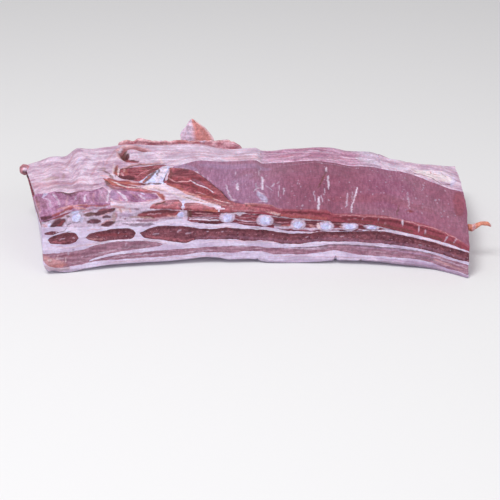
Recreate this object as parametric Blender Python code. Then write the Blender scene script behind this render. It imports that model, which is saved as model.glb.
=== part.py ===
"""Bone-in pork belly slab, lying skin side down with its cut rib face to the front.

+X runs along the slab from the brisket end to the flank end, +Y from the cut face to the back edge
and +Z up.  The tables are in millimetres.  A "station" is a distance along the cut face, "across"
goes from 0 at the cut face to 1 at the back edge, and heights are above the surface it lies on.
The origin is under the middle of the whole piece.
"""

import math

import bmesh
import bpy
import numpy as np

MM = 0.001

# ---------------------------------------------------------------- driving dimensions, in mm
LEFT, RIGHT = -224.0, 236.0         # ends of the cut face
STATION_STEP = 16.0                 # spacing of the sections along the slab
GAP = 0.3                           # clearance between neighbouring pieces
FACE_LEAN = math.tan(math.radians(12.0))    # the cut face leans back
BOW = 22.4                          # the cut face bows forward towards both ends
BOW_CENTRE, BOW_REACH = 20.0, 220.0
FLARE, FLARE_START = 13.0, 195.0    # the flank corner flares forward
FAN_LEFT, FAN_RIGHT = -44.0, 10.0   # how far the two ends run outwards towards the back
FAN_FOOT, FAN_HEIGHT = 0.5, 70.0    # the brisket end fans out less at its foot
SHOULDER_DROP, SHOULDER_WIDTH = 16.0, 22.0  # the back edge rolls over
LAYER_DROP = 0.17                   # share of their height that the layers lose there
CORNER_LEFT, CORNER_RIGHT = 12.0, 2.0       # radii of the lower end corners
CREST_DEPTH = 100.0                 # from here on the upper side is as high as its crest
CENTRE = (-0.40, 77.11)             # middle of the whole piece in the tables' frame

ACROSS = (0.0, 0.3, 0.62, 0.88, 1.0)
ACROSS_TOP = (0.0, 0.12, 0.3, 0.45, 0.62, 0.78, 0.88, 1.0)


def smooth(*points):
    """A curve through (station, value) points that never swings past them."""
    x, y = (np.array(column, float) for column in zip(*points))
    run = np.diff(x)
    rise = np.diff(y) / run
    product = rise[:-1] * rise[1:]
    before, after = 2 * run[1:] + run[:-1], run[1:] + 2 * run[:-1]
    blend = before * rise[1:] + after * rise[:-1]
    slope = np.empty_like(x)
    slope[0], slope[-1] = rise[0], rise[-1]
    blend = np.where(product > 0, blend, 1.0)
    slope[1:-1] = np.where(product > 0, (before + after) * product / blend, 0.0)

    def value(at):
        at = np.clip(at, x[0], x[-1])
        i = np.clip(np.searchsorted(x, at) - 1, 0, len(run) - 1)
        t = (at - x[i]) / run[i]
        keep = (1 + 2 * t) * (1 - t) ** 2
        return (keep * y[i] + (1 - keep) * y[i + 1]
                + run[i] * (t * (1 - t) ** 2 * slope[i] - t * t * (1 - t) * slope[i + 1]))

    return value


# ---------------------------------------------------------------- plan of the slab
BACK_EDGE = smooth((-224, 124), (-205, 136), (-180, 148), (-150, 158), (-110, 170), (-60, 177),
                   (0, 176), (60, 180), (100, 182), (133, 178), (167, 170), (200, 165), (236, 168))

# ---------------------------------------------------------------- heights at the cut face
UNDER_EDGE = smooth((-212, 4.0), (-204, 1.5), (-195, 0.8), (-178, 3.0), (-150, 5.0), (-100, 5.0),
                    (-70, 6.0), (-50, 8.0), (-35, 7.0), (-22, 4.5), (0, 4.8), (20, 1.5), (45, 0.6),
                    (75, 2.4), (95, 4.4), (130, 5.0), (165, 3.4), (200, 1.2), (215, 0.0))
SKIN_FAT_TOP = smooth((-224, 16.5), (-217, 9.5), (-206, 6.4), (-196, 7.4), (-182, 9.3), (-164, 11),
                      (-110, 10.6), (-77, 11.8), (-44, 13.9), (-22, 12.9), (-5, 14.5), (8, 14.5),
                      (28, 10.9), (55, 10.9), (75, 13), (93, 16), (110, 13.6), (132, 12.2),
                      (180, 11), (197, 8.6), (207, 6.6), (217, 5.2), (236, 4.4))
FLANK_LEAN_TOP = smooth((-182, 9.3), (-164, 13.7), (-142, 16.5), (-99, 18.2), (-77, 18.5), (-55, 19.8),
                        (-11, 20.5), (33, 18), (55, 18.8), (77, 20.9), (93, 23.4), (110, 23.5),
                        (153, 22.2), (175, 21.3), (191, 19.7), (207, 17.2), (217, 15.8), (236, 14.6))
BRISKET_LEAN_FLOOR = smooth((-182, 9.3), (-174, 12.6), (-163, 16), (-142, 19.3), (-120, 21.4),
                            (-101, 22.9), (-95, 24.3))
BRISKET_LEAN_TOP = smooth((-224, 24), (-195, 23.8), (-184, 25), (-163, 29.8), (-142, 30.9),
                          (-131, 30.7), (-109, 28.9), (-98, 26.1), (-95, 24.3))
DARK_FLOOR = smooth((-224, 39.2), (-218, 39.2), (-215, 35.7), (-205, 33.5), (-195, 33.1), (-189, 34.2),
                    (-185, 37.7), (-179, 37.7), (-173, 35), (-163, 33.1), (-131, 33.5), (-127, 35.2),
                    (-124, 39.1), (-121, 39.1), (-115, 33.1), (-93, 29.7), (-71, 26), (-59, 28.9),
                    (-16, 28.3), (-5, 26.5), (16, 26.9), (38, 23.1), (49, 23.2), (82, 26.6),
                    (104, 27.2), (153, 26.1), (185, 23.2), (201, 20.7), (222, 18.7), (236, 19))
DARK_TOP = smooth((-224, 39.2), (-218, 39.2), (-215, 41.1), (-210, 42.7), (-199, 44.3), (-190, 43.8),
                  (-187, 41.7), (-185, 37.7), (-179, 37.7), (-173, 41), (-157, 43.1), (-150, 44.7),
                  (-133, 44.1), (-127, 42.1), (-124, 39.1), (-121, 39.1), (-109, 42.7), (-100, 44.4),
                  (-82, 44.1), (-60, 41.1), (-38, 39.3), (-27, 40.8), (-5, 38.2), (11, 38.1),
                  (33, 34.7), (44, 33.7), (66, 34), (77, 35.9), (104, 36.7), (131, 38.8), (142, 38.8),
                  (174, 34.6), (196, 31.1), (216, 28.8), (236, 28))
UPPER_SEAM_TOP = smooth((-224, 53), (-203, 52), (-187, 50), (-165, 48.5), (-136, 47.6), (-109, 47.6),
                        (-98, 49.8), (-78, 52), (-60, 47.2), (-38, 44.6), (-27, 45.6), (-20, 45.6),
                        (0, 42), (22, 40.3), (44, 36.5), (66, 36.2), (80, 37.2), (104, 38.2),
                        (126, 39.6), (140, 40.4), (150, 42), (163, 40.5), (179, 38), (196, 34.6),
                        (211, 33), (236, 30.6))
RIB_BAND_TOP = smooth((-224, 59), (-203, 64.5), (-187, 67.8), (-165, 68), (-108, 65), (-65, 62),
                      (-38, 59.3), (-11, 56.5), (11, 55.8), (33, 53), (55, 51), (76, 49.7),
                      (98, 48.4), (120, 47.2), (133, 46.6), (147, 44.2), (163, 40.5), (179, 38),
                      (196, 34.6), (211, 33), (236, 30.6))
LIP = smooth((-224, 65.5), (-212, 69), (-203, 71), (-182, 74), (-161, 75), (-130, 71.5), (-108, 69),
             (-65, 66), (-38, 64), (-5, 67.5), (20, 65.5), (33, 60.5), (82, 60.2), (92, 56),
             (109, 56.7), (147, 56.1), (163, 53.2), (184, 50.7), (206, 45.7), (216, 43.5),
             (226, 39.7), (236, 35))
CREST = smooth((-224, 72.6), (-210, 74.5), (-200, 77.3), (-188, 75), (-176, 83), (-166, 80.8), (-138, 82),
               (-100, 78), (-60, 76), (-24, 71), (6, 72.5), (15, 68.6), (60, 70.2), (78, 71), (96, 70.4),
               (120, 66.3), (142, 66.2), (164, 60.8), (186, 57.2), (214, 53.3), (236, 51))
LUMP_PLACE, LUMP_SIZE, LUMP_HEIGHT = (218.0, 116.0), (20.0, 24.0), 4.0

# Stations where lean streaks begin or end, and where the fat closes round them.
FLANK_LEAN_START = -182.0
BRISKET_LEAN_END, BRISKET_SEAM_END = -95.0, -90.0
RIB_BAND_END = 156.0
DARK_TIPS = {"dark_lean_1": (-218.0, -185.0), "dark_lean_2": (-179.0, -124.0),
             "dark_lean_3": (-121.0, RIGHT)}
TIP_LENGTH = 0.8                    # a streak stops this far before its own tip

# ---------------------------------------------------------------- ribs and the small lean streak
# name: (station, height, width, depth) of the cut end
RODS = {"costal_cartilage": (-187.0, 60.6, 10.7, 10.4),
        "rib_1": (-75.0, 56.6, 8.7, 6.6),
        "rib_2": (-24.6, 51.6, 12.0, 9.4),
        "rib_3": (16.4, 48.5, 13.0, 10.4),
        "rib_4": (52.5, 43.9, 12.0, 9.0),
        "rib_5": (83.0, 42.6, 13.0, 8.2),
        "rib_6": (109.0, 43.3, 14.0, 7.2),
        "rib_7": (133.0, 43.3, 12.0, 4.2)}
DARK_STREAK = (-213.8, 46.2, 16.5, 4.0)
ROD_SIDES = 10
OVERRUN = 0.02                      # how far a rod's cutter runs past both faces, as a share across

# ---------------------------------------------------------------- outlines of the top pieces, in plan
SHEET_BACK = [(-91, 92), (-80, 97), (-58, 113), (-23, 122), (0, 121), (59, 125), (105, 120), (129, 119),
              (151, 114), (176, 119), (187, 116), (208, 98), (230, 86), (260, 76)]
SHEET_FRONT = [(20, 12), (-5, 15.5), (-22, 28), (-33, 51), (-45, 66), (-57, 79), (-68, 87)]
TOP_PIECES = {
    "inner_muscle": [(28, -60), (260, -60)] + SHEET_BACK[::-1] + SHEET_FRONT[::-1],
    "back_muscle": [(14, 121.7), (59, 125), (105, 120), (129, 119), (151, 114), (156, 220), (12, 220)],
    "flank_fat": SHEET_BACK[8:] + [(260, 220), (156, 220)],
    "diaphragm": [(-94, 53), (-83, 46), (-72, 38), (-49, 27), (-38, 21), (-27, 8), (-24, -60),
                  (28, -60)] + SHEET_FRONT + [(-91, 92)],
    "fore_muscle": [(-300, -60), (-300, 28), (-241, 29), (-235, 36), (-220, 35.5), (-198, 30),
                    (-175, 30), (-163, 41), (-156, 31), (-150, 9), (-151, -60)],
    "rib_membrane": [(-156, 31), (-138, 33), (-121, 33), (-105, 33), (-99, 24), (-109, 16),
                     (-130, 9.5), (-150, 9)],
    "neck_muscle_1": [(-152, 68), (-145, 58), (-134, 53), (-123, 54), (-113, 70), (-99, 89),
                      (-97, 95), (-103, 96), (-120, 88), (-136, 82), (-147, 77)],
    "neck_muscle_2": [(-165, 57), (-161, 49), (-149, 39), (-132, 35), (-111, 36), (-94, 37),
                      (-122, 42), (-144, 48)],
    "neck_muscle_3": [(-108, -60), (-75, -60), (-74, 17), (-79, 25), (-88, 24), (-100, 14)],
    "neck_muscle_4": [(-72, -60), (-38, -60), (-36, 8), (-49, 17.5), (-60, 23), (-73, 17)],
    "rib_tip": [(-123, 54), (-111, 50), (-97, 52), (-94, 70), (-92, 89), (-99, 89), (-113, 70)],
}

# ---------------------------------------------------------------- pieces outside the slab
TRIM_TOP = smooth((-162, 72), (-156, 78), (-146, 79.5), (-140, 77), (-134, 79.5), (-118, 76),
                  (-91, 74), (-44, 73.5), (-29, 75), (-21, 72), (-6, 62))
TRIM_START, TRIM_END, TRIM_STEP = -162.0, -6.0, 12.0
TRIM_FOOT, TRIM_THICKNESS = 36.0, 8.0
FLAP_LEFT = smooth((74, -84), (79, -84), (88, -79), (95, -74), (98, -71.5))
FLAP_RIGHT = smooth((74, -44), (81, -48), (87, -53), (92, -60), (98, -68.5))
FLAP_FOOT, FLAP_TOP, FLAP_THICKNESS, FLAP_CURL = 76.0, 98.0, 5.0, 5.0
STRAND = [(243.4, 14, 38.0, 4.4), (246.4, 13, 39.5, 4.0), (249.6, 12, 42.0, 3.2),
          (255.0, 12, 44.3, 2.4), (260.5, 12, 43.8, 2.6), (264.8, 12, 41.0, 1.6)]
NUB_PLACE, NUB_RADII = (-260.0, 103.0, 68.0), (6.8, 8.0, 6.5)

COLOURS = {
    "skin_fat": (0.74, 0.58, 0.66), "flank_lean": (0.40, 0.20, 0.26),
    "brisket_seam_fat": (0.74, 0.58, 0.66), "brisket_lean": (0.38, 0.17, 0.23),
    "seam_fat": (0.74, 0.58, 0.68), "dark_lean_1": (0.16, 0.04, 0.06),
    "dark_lean_2": (0.16, 0.04, 0.06), "dark_lean_3": (0.17, 0.05, 0.07),
    "dark_streak": (0.16, 0.04, 0.06), "upper_seam_fat": (0.74, 0.60, 0.70),
    "rib_band": (0.36, 0.12, 0.15), "costal_cartilage": (0.62, 0.64, 0.84),
    "fore_muscle": (0.33, 0.14, 0.22), "rib_membrane": (0.42, 0.20, 0.30),
    "inner_muscle": (0.31, 0.11, 0.17), "back_muscle": (0.45, 0.22, 0.32),
    "cover_fat": (0.72, 0.52, 0.60), "flank_fat": (0.74, 0.60, 0.66),
    "diaphragm": (0.28, 0.07, 0.09), "rib_tip": (0.62, 0.55, 0.70),
    "back_trim": (0.45, 0.14, 0.14), "back_flap": (0.60, 0.28, 0.24),
    "end_strand": (0.66, 0.26, 0.20), "corner_nub": (0.30, 0.06, 0.09),
}
LEAN_COLOUR, RIB_COLOUR = (0.30, 0.08, 0.10), (0.60, 0.62, 0.86)


# ---------------------------------------------------------------- the slab's shape as functions
def front_edge(station):
    """Place of the cut face's foot, in y."""
    bow = BOW * ((station - BOW_CENTRE) / BOW_REACH) ** 2
    flare = FLARE * (np.clip(station - FLARE_START, 0, None) / (RIGHT - FLARE_START)) ** 1.5
    return -bow - flare


def drift(station, across, height):
    """How far a section has drifted along x on its way from the cut face to the back edge."""
    left = FAN_LEFT * (np.clip(-60 - station, 0, None) / (-60 - LEFT)) ** 1.3
    right = FAN_RIGHT * (np.clip(station - 60, 0, None) / (RIGHT - 60)) ** 2
    foot = FAN_FOOT + (1 - FAN_FOOT) * np.clip(height / FAN_HEIGHT, 0, 1)
    return left * foot * across + right * (1 - (1 - across) ** 2)


def place(x, y, z):
    """A point of the tables' frame, in metres in the finished frame."""
    return (x - CENTRE[0]) * MM, (y - CENTRE[1]) * MM, z * MM


def spot(station, across, height):
    """A point of the slab, given along, across and up."""
    x = station + drift(station, across, height)
    y = front_edge(station) + across * (BACK_EDGE(station) - front_edge(station))
    return place(x, y + FACE_LEAN * height * (1 - across) ** 2, height)


def shoulder(station, across):
    """From 0 on the slab to 1 at the back edge, where it rolls over."""
    width = (1 - across) * (BACK_EDGE(station) - front_edge(station))
    return np.clip(1 - width / SHOULDER_WIDTH, 0, 1) ** 2


def roof(station, across):
    """Height of the slab's upper side."""
    depth = across * (BACK_EDGE(station) - front_edge(station))
    climb = np.clip(depth / CREST_DEPTH, 0, 1)
    climb = climb * climb * (3 - 2 * climb)
    lip = LIP(station)
    x = station + drift(station, across, FAN_HEIGHT)
    y = front_edge(station) + depth
    reach = ((x - LUMP_PLACE[0]) / LUMP_SIZE[0]) ** 2 + ((y - LUMP_PLACE[1]) / LUMP_SIZE[1]) ** 2
    return (lip + climb * (CREST(station) - lip) - SHOULDER_DROP * shoulder(station, across)
            + LUMP_HEIGHT * np.exp(-reach))


def under_side(station, across):
    """Height of the skin side: flat, but lifted along the cut face and at the rounded ends."""
    lift = UNDER_EDGE(station) * np.clip(1 - across / ACROSS[1], 0, 1)
    corner = 0.0
    for radius, inside in ((CORNER_LEFT, station - LEFT), (CORNER_RIGHT, RIGHT - station)):
        reach = np.clip(1 - inside / radius, 0, 1)
        corner = max(corner, radius * (1 - math.sqrt(1 - reach * reach)))
    return max(lift, corner)


def stations(*extra):
    """Regular sections along the slab, with extra ones that keep 3 mm clear of the regular ones."""
    count = round((RIGHT - LEFT) / STATION_STEP)
    regular = [LEFT + i * (RIGHT - LEFT) / count for i in range(count + 1)]
    ends = regular[:1] + regular[-1:]
    kept = [s for s in regular[1:-1] if all(abs(s - e) > 3 for e in extra)]
    return sorted(set(ends + kept + list(extra)))


DARK_STATIONS = stations(*[tip + shift for tips in DARK_TIPS.values() for tip, side in zip(tips, (1, -1))
                           for shift in (0.0, side * TIP_LENGTH, side * 3.5) if tip != RIGHT])
BRISKET_STATIONS = stations(FLANK_LEAN_START, FLANK_LEAN_START + TIP_LENGTH * 3, BRISKET_LEAN_END - 3.5,
                            BRISKET_LEAN_END - TIP_LENGTH, BRISKET_LEAN_END, BRISKET_SEAM_END - TIP_LENGTH,
                            BRISKET_SEAM_END)
SKIN_STATIONS = stations(-217.0, FLANK_LEAN_START, FLANK_LEAN_START + TIP_LENGTH * 3)
PLAIN_STATIONS = stations()
RIB_STATIONS = stations(RIB_BAND_END, 163.0)


def brisket_floor(station):
    """The brisket lean lies on the skin fat, then on its own seam, and ends in the seam fat."""
    if station <= FLANK_LEAN_START:
        return SKIN_FAT_TOP(station)
    if station <= BRISKET_LEAN_END:
        return BRISKET_LEAN_FLOOR(station)
    close = min(1.0, (station - BRISKET_LEAN_END) / (BRISKET_SEAM_END - BRISKET_LEAN_END))
    return (1 - close) * BRISKET_LEAN_TOP(BRISKET_LEAN_END) + close * FLANK_LEAN_TOP(station)


def brisket_roof(station):
    """Top of the brisket lean, which is the floor of the seam fat beyond its end."""
    return BRISKET_LEAN_TOP(station) if station <= BRISKET_LEAN_END else brisket_floor(station)


def flank_roof(station):
    """Top of the flank lean, which is the top of the skin fat before it begins."""
    return FLANK_LEAN_TOP(station) if station > FLANK_LEAN_START else SKIN_FAT_TOP(station)


def level(height_at, own_stations):
    """A layer boundary: straight between its own sections, and rolling over with the shoulder."""
    heights = [float(height_at(s)) for s in own_stations]

    def height(station, across):
        share = np.interp(across, ACROSS, [1 - LAYER_DROP * shoulder(station, a) for a in ACROSS])
        return np.interp(station, own_stations, heights) * share

    height.stations = own_stations
    return height


UNDER = under_side
UNDER.stations = PLAIN_STATIONS
SKIN_TOP = level(SKIN_FAT_TOP, SKIN_STATIONS)
FLANK_TOP = level(flank_roof, BRISKET_STATIONS)
BRISKET_FLOOR = level(brisket_floor, BRISKET_STATIONS)
BRISKET_TOP = level(brisket_roof, BRISKET_STATIONS)
DARK_UNDER = level(DARK_FLOOR, DARK_STATIONS)
DARK_OVER = level(DARK_TOP, DARK_STATIONS)
SEAM_TOP = level(UPPER_SEAM_TOP, RIB_STATIONS)
BAND_TOP = level(RIB_BAND_TOP, RIB_STATIONS)


# ---------------------------------------------------------------- building tools
def collection(name):
    made = bpy.data.collections.new(name)
    bpy.context.scene.collection.children.link(made)
    return made


def material(name, colour, roughness=0.4):
    made = bpy.data.materials.new(name)
    made.use_nodes = True
    shader = made.node_tree.nodes["Principled BSDF"]
    shader.inputs["Base Color"].default_value = (*colour, 1)
    shader.inputs["Roughness"].default_value = roughness
    shader.inputs["Metallic"].default_value = 0.0
    return made


def add_mesh(name, bm, group, is_cutter=False):
    """Turn a bmesh into an object of the part, or into a hidden cutter."""
    bm.normal_update()
    bmesh.ops.recalc_face_normals(bm, faces=bm.faces)
    if bm.calc_volume(signed=True) < 0:
        bmesh.ops.reverse_faces(bm, faces=bm.faces)
    mesh = bpy.data.meshes.new(name)
    bm.to_mesh(mesh)
    bm.free()
    made = bpy.data.objects.new(name, mesh)
    group.objects.link(made)
    if is_cutter:
        made.hide_render = True
        made.display_type = "WIRE"
    return made


def grid_block(columns, rows, lower, upper):
    """A closed block from a grid, its two sides placed by lower(column, row) and upper(column, row)."""
    bm = bmesh.new()
    across, along = len(rows) - 1, len(columns) - 1
    bmesh.ops.create_grid(bm, x_segments=along, y_segments=across, size=1)
    cells = {v: (columns[round((v.co.x + 1) / 2 * along)], rows[round((v.co.y + 1) / 2 * across)])
             for v in bm.verts}
    top = bmesh.ops.extrude_face_region(bm, geom=bm.faces[:])["geom"]
    raised = [v for v in top if isinstance(v, bmesh.types.BMVert)]
    lookup = {tuple(round(c, 6) for c in v.co): cells[v] for v in cells}
    for v in raised:
        v.co = upper(*lookup[tuple(round(c, 6) for c in v.co)])
    for v, cell in cells.items():
        v.co = lower(*cell)
    return bm


def layer(name, floor, ceiling, start, end, group):
    """A layer of the slab between two levels, from one station to another."""
    columns = sorted({s for s in (*floor.stations, *ceiling.stations, start, end) if start <= s <= end})
    bm = grid_block(columns, ACROSS,
                    lambda s, a: spot(s, a, floor(s, a) + (0 if floor is UNDER else GAP / 2)),
                    lambda s, a: spot(s, a, ceiling(s, a) - GAP / 2))
    return add_mesh(name, bm, group)


def rod(name, size, group, grow=0.0):
    """A rib or streak that runs through the slab from the cut face to the back edge."""
    station, height, width, depth = size
    rows = [-OVERRUN, *ACROSS, 1 + OVERRUN] if grow else ACROSS
    bm = bmesh.new()
    bmesh.ops.create_cone(bm, cap_ends=True, segments=ROD_SIDES, radius1=1, radius2=1,
                          depth=rows[-1] - rows[0])
    for row in rows[1:-1]:
        bmesh.ops.bisect_plane(bm, geom=bm.verts[:] + bm.edges[:] + bm.faces[:],
                               plane_co=(0, 0, row - 0.5), plane_no=(0, 0, 1))
    for v in bm.verts:
        across = min(rows, key=lambda row: abs(row - 0.5 - v.co.z))
        share = 1 - LAYER_DROP * shoulder(station, min(across, 1.0))
        rise = height * share + v.co.y * (depth / 2 + grow)
        v.co = spot(station + v.co.x * (width / 2 + grow), across, rise)
    return add_mesh(name, bm, group, is_cutter=grow > 0)


def offset_outline(points, distance):
    """The outline moved outwards by distance, or inwards where it is negative."""
    made = []
    count = len(points)
    area = sum(points[i - 1][0] * points[i][1] - points[i][0] * points[i - 1][1] for i in range(count))
    side = math.copysign(distance, area * distance)
    for i in range(count):
        before, here, after = (np.array(points[j % count], float) for j in (i - 1, i, i + 1))
        ahead = (after - here) / np.linalg.norm(after - here)
        behind = (here - before) / np.linalg.norm(here - before)
        normal = np.array([ahead[1] + behind[1], -ahead[0] - behind[0]])
        normal /= np.linalg.norm(normal)
        facing = max(0.4, normal @ np.array([behind[1], -behind[0]]))
        made.append(here + normal * side / facing)
    return made


def prism(name, outline, grow, group):
    """A tall cutter over an outline in plan, from a filled and extruded flat curve."""
    curve = bpy.data.curves.new(name, "CURVE")
    curve.dimensions = "2D"
    curve.fill_mode = "BOTH"
    curve.extrude = 70 * MM
    points = offset_outline(outline, grow)
    spline = curve.splines.new("POLY")
    spline.use_cyclic_u = True
    spline.points.add(len(points) - 1)
    for point, (x, y) in zip(spline.points, points):
        point.co = (*place(x, y, 0), 1)
    flat = bpy.data.objects.new(name, curve)
    flat.location.z = 75 * MM
    group.objects.link(flat)
    bpy.context.view_layer.update()
    mesh = bpy.data.meshes.new_from_object(flat.evaluated_get(bpy.context.evaluated_depsgraph_get()))
    bm = bmesh.new()
    bm.from_mesh(mesh)
    bmesh.ops.remove_doubles(bm, verts=bm.verts, dist=0.00001)
    made = add_mesh(name, bm, group, is_cutter=True)
    made.matrix_world = flat.matrix_world
    bpy.data.objects.remove(flat)
    return made


def cut(target, cutter, operation="DIFFERENCE"):
    modifier = target.modifiers.new(cutter.name, "BOOLEAN")
    modifier.operation = operation
    modifier.object = cutter


# ---------------------------------------------------------------- the pieces
def make_layers(group, cutters):
    """The fat and lean layers from the skin side up to the rib band."""
    layer("skin_fat", UNDER, SKIN_TOP, LEFT, RIGHT, group)
    layer("flank_lean", SKIN_TOP, FLANK_TOP, FLANK_LEAN_START + TIP_LENGTH * 3, RIGHT, group)
    layer("brisket_seam_fat", FLANK_TOP, BRISKET_FLOOR, FLANK_LEAN_START + TIP_LENGTH * 9,
          BRISKET_SEAM_END - TIP_LENGTH, group)
    layer("brisket_lean", BRISKET_FLOOR, BRISKET_TOP, LEFT, BRISKET_LEAN_END - TIP_LENGTH, group)
    layer("seam_fat", BRISKET_TOP, DARK_UNDER, LEFT, RIGHT, group)
    for name, (start, end) in DARK_TIPS.items():
        last = end if end == RIGHT else end - TIP_LENGTH
        layer(name, DARK_UNDER, DARK_OVER, start + TIP_LENGTH, last, group)
    upper = layer("upper_seam_fat", DARK_OVER, SEAM_TOP, LEFT, RIGHT, group)
    rod("dark_streak", DARK_STREAK, group)
    cut(upper, rod("dark_streak_cutter", DARK_STREAK, cutters, grow=GAP))


def make_rib_band(group, cutters):
    """The meat and fat between the ribs, and the ribs that run through it."""
    band = layer("rib_band", SEAM_TOP, BAND_TOP, LEFT, RIB_BAND_END, group)
    for name, size in RODS.items():
        rod(name, size, group)
        cut(band, rod(name + "_cutter", size, cutters, grow=GAP))


def top_block(name, group):
    """The whole upper layer of the slab, which the top pieces are cut from."""
    bm = grid_block(PLAIN_STATIONS, ACROSS_TOP,
                    lambda s, a: spot(s, a, BAND_TOP(s, a) + GAP / 2),
                    lambda s, a: spot(s, a, roof(s, a)))
    return add_mesh(name, bm, group)


def make_top(group, cutters):
    """The muscles on the upper side, and the cover fat that lies round them."""
    cover = top_block("cover_fat", group)
    for name, outline in TOP_PIECES.items():
        piece = top_block(name, group)
        cut(piece, prism(name + "_outline", outline, -GAP / 2, cutters), "INTERSECT")
        cut(cover, prism(name + "_recess", outline, GAP / 2, cutters))


def back_face(x):
    """Place of the slab's back face, in y, at a place along x."""
    along = np.array(PLAIN_STATIONS)
    return np.interp(x, along + drift(along, 1.0, FAN_HEIGHT), BACK_EDGE(along))


def make_back_trim(group):
    """The ragged strip of lean behind the back edge, and the pointed flap that stands on it."""
    count = round((TRIM_END - TRIM_START) / TRIM_STEP)
    columns = [TRIM_START + i * (TRIM_END - TRIM_START) / count for i in range(count + 1)]
    bm = grid_block(columns, (0.0, 1.0),
                    lambda x, a: place(x, back_face(x) + GAP * 2 + a * TRIM_THICKNESS, TRIM_FOOT),
                    lambda x, a: place(x, back_face(x) + GAP * 2 + a * TRIM_THICKNESS, TRIM_TOP(x) - 2 * a))
    add_mesh("back_trim", bm, group)

    heights = [FLAP_FOOT, 79.0, 83.5, 88.0, 91.5, 95.0, FLAP_TOP]

    def flap_point(share, z, thickness):
        x = (1 - share) * FLAP_LEFT(z) + share * FLAP_RIGHT(z)
        curl = FLAP_CURL * ((z - FLAP_FOOT) / (FLAP_TOP - FLAP_FOOT)) ** 2
        return place(x, back_face(-64.0) + 1.5 + curl + thickness, z)

    bm = grid_block((0.0, 0.25, 0.5, 0.75, 1.0), heights,
                    lambda share, z: flap_point(share, z, 0.0),
                    lambda share, z: flap_point(share, z, FLAP_THICKNESS))
    return add_mesh("back_flap", bm, group)


def make_end_strand(group):
    """The loose strand of meat that sticks out at the flank end."""
    curve = bpy.data.curves.new("end_strand", "CURVE")
    curve.dimensions = "3D"
    curve.bevel_depth = MM
    curve.bevel_resolution = 2
    curve.use_fill_caps = True
    spline = curve.splines.new("POLY")
    spline.points.add(len(STRAND) - 1)
    for point, (x, y, z, radius) in zip(spline.points, STRAND):
        point.co = (*place(x, y, z), 1)
        point.radius = radius
    made = bpy.data.objects.new("end_strand", curve)
    group.objects.link(made)
    return made


def nub(name, group, grow=0.0):
    bm = bmesh.new()
    bmesh.ops.create_uvsphere(bm, u_segments=10, v_segments=8, radius=1)
    for v in bm.verts:
        v.co = place(*(c + (r + grow) * n for c, r, n in zip(NUB_PLACE, NUB_RADII, v.co)))
    return add_mesh(name, bm, group, is_cutter=grow > 0)


def make_corner_nub(group, cutters):
    """The small bloody knob at the brisket end's back corner, in a hollow of the cover fat."""
    nub("corner_nub", group)
    cut(group.objects["cover_fat"], nub("corner_nub_hollow", cutters, grow=GAP))


def colour_pieces(group):
    """Give each piece a material of its own."""
    for piece in group.objects:
        is_bone = piece.name.startswith("rib_") and piece.name[4:].isdigit()
        colour = RIB_COLOUR if is_bone else COLOURS.get(piece.name, LEAN_COLOUR)
        piece.data.materials.append(material(piece.name, colour))


def main():
    for old in list(bpy.data.objects):
        bpy.data.objects.remove(old)
    part = collection("pork_belly_slab")
    cutters = collection("cutters")
    make_layers(part, cutters)
    make_rib_band(part, cutters)
    make_top(part, cutters)
    make_back_trim(part)
    make_end_strand(part)
    make_corner_nub(part, cutters)
    colour_pieces(part)


main()
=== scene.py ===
"""Bone-in pork belly slab: surfaces and finishes of its fat, lean, ribs and muscles, and a plain studio.

Tables are in millimetres.  A "station" is a distance along the cut face, "across" goes from 0 at the cut
face to 1 at the back edge, and heights are above the surface that the slab lies on.
"""

import math

import bmesh
import bpy
import numpy as np
from bpy.props import FloatProperty, FloatVectorProperty, PointerProperty
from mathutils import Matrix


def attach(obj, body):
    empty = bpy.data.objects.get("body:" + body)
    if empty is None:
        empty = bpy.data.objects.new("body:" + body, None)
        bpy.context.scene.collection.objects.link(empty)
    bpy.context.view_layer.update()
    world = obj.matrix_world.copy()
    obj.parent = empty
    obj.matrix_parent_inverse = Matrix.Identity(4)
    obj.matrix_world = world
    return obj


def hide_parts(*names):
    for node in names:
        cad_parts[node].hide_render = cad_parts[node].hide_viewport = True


bl_info = {
    "name": "Pork Belly Slab",
    "version": (1, 0, 0),
    "blender": (4, 5, 0),
    "location": "View3D > Sidebar > Belly",
    "description": "Models the tissues of a bone-in pork belly slab around its solids",
    "category": "Add Mesh",
}

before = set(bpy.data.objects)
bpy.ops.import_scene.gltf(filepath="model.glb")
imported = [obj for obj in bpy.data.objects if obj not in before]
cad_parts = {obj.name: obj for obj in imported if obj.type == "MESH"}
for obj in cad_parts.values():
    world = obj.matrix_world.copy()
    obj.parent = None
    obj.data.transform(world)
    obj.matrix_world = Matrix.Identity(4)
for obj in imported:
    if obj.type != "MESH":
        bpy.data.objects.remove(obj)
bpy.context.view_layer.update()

MM = 0.001

# ---------------------------------------------------------------- the slab's driving dimensions, in mm
LEFT, RIGHT = -224.0, 236.0
FACE_LEAN = math.tan(math.radians(12.0))
BOW, BOW_CENTRE, BOW_REACH = 22.4, 20.0, 220.0
FLARE, FLARE_START = 13.0, 195.0
FAN_LEFT, FAN_RIGHT, FAN_FOOT, FAN_HEIGHT = -44.0, 10.0, 0.5, 70.0
SHOULDER_DROP, SHOULDER_WIDTH, LAYER_DROP = 16.0, 22.0, 0.17
CORNER_LEFT, CORNER_RIGHT = 15.0, 2.0
CREST_DEPTH = 100.0
FOOT_SHARE = 0.3                    # the skin side lies flat from this share across
CENTRE = (-0.40, 77.11)
END_ROUND, FRONT_ROUND, LIP_ROUND, FOOT_ROUND = 2.0, 2.6, 2.4, 2.6

STEP = 1.15                         # mesh spacing
BITE = 0.5                          # lean reaches this far into the fat above and below it


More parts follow.
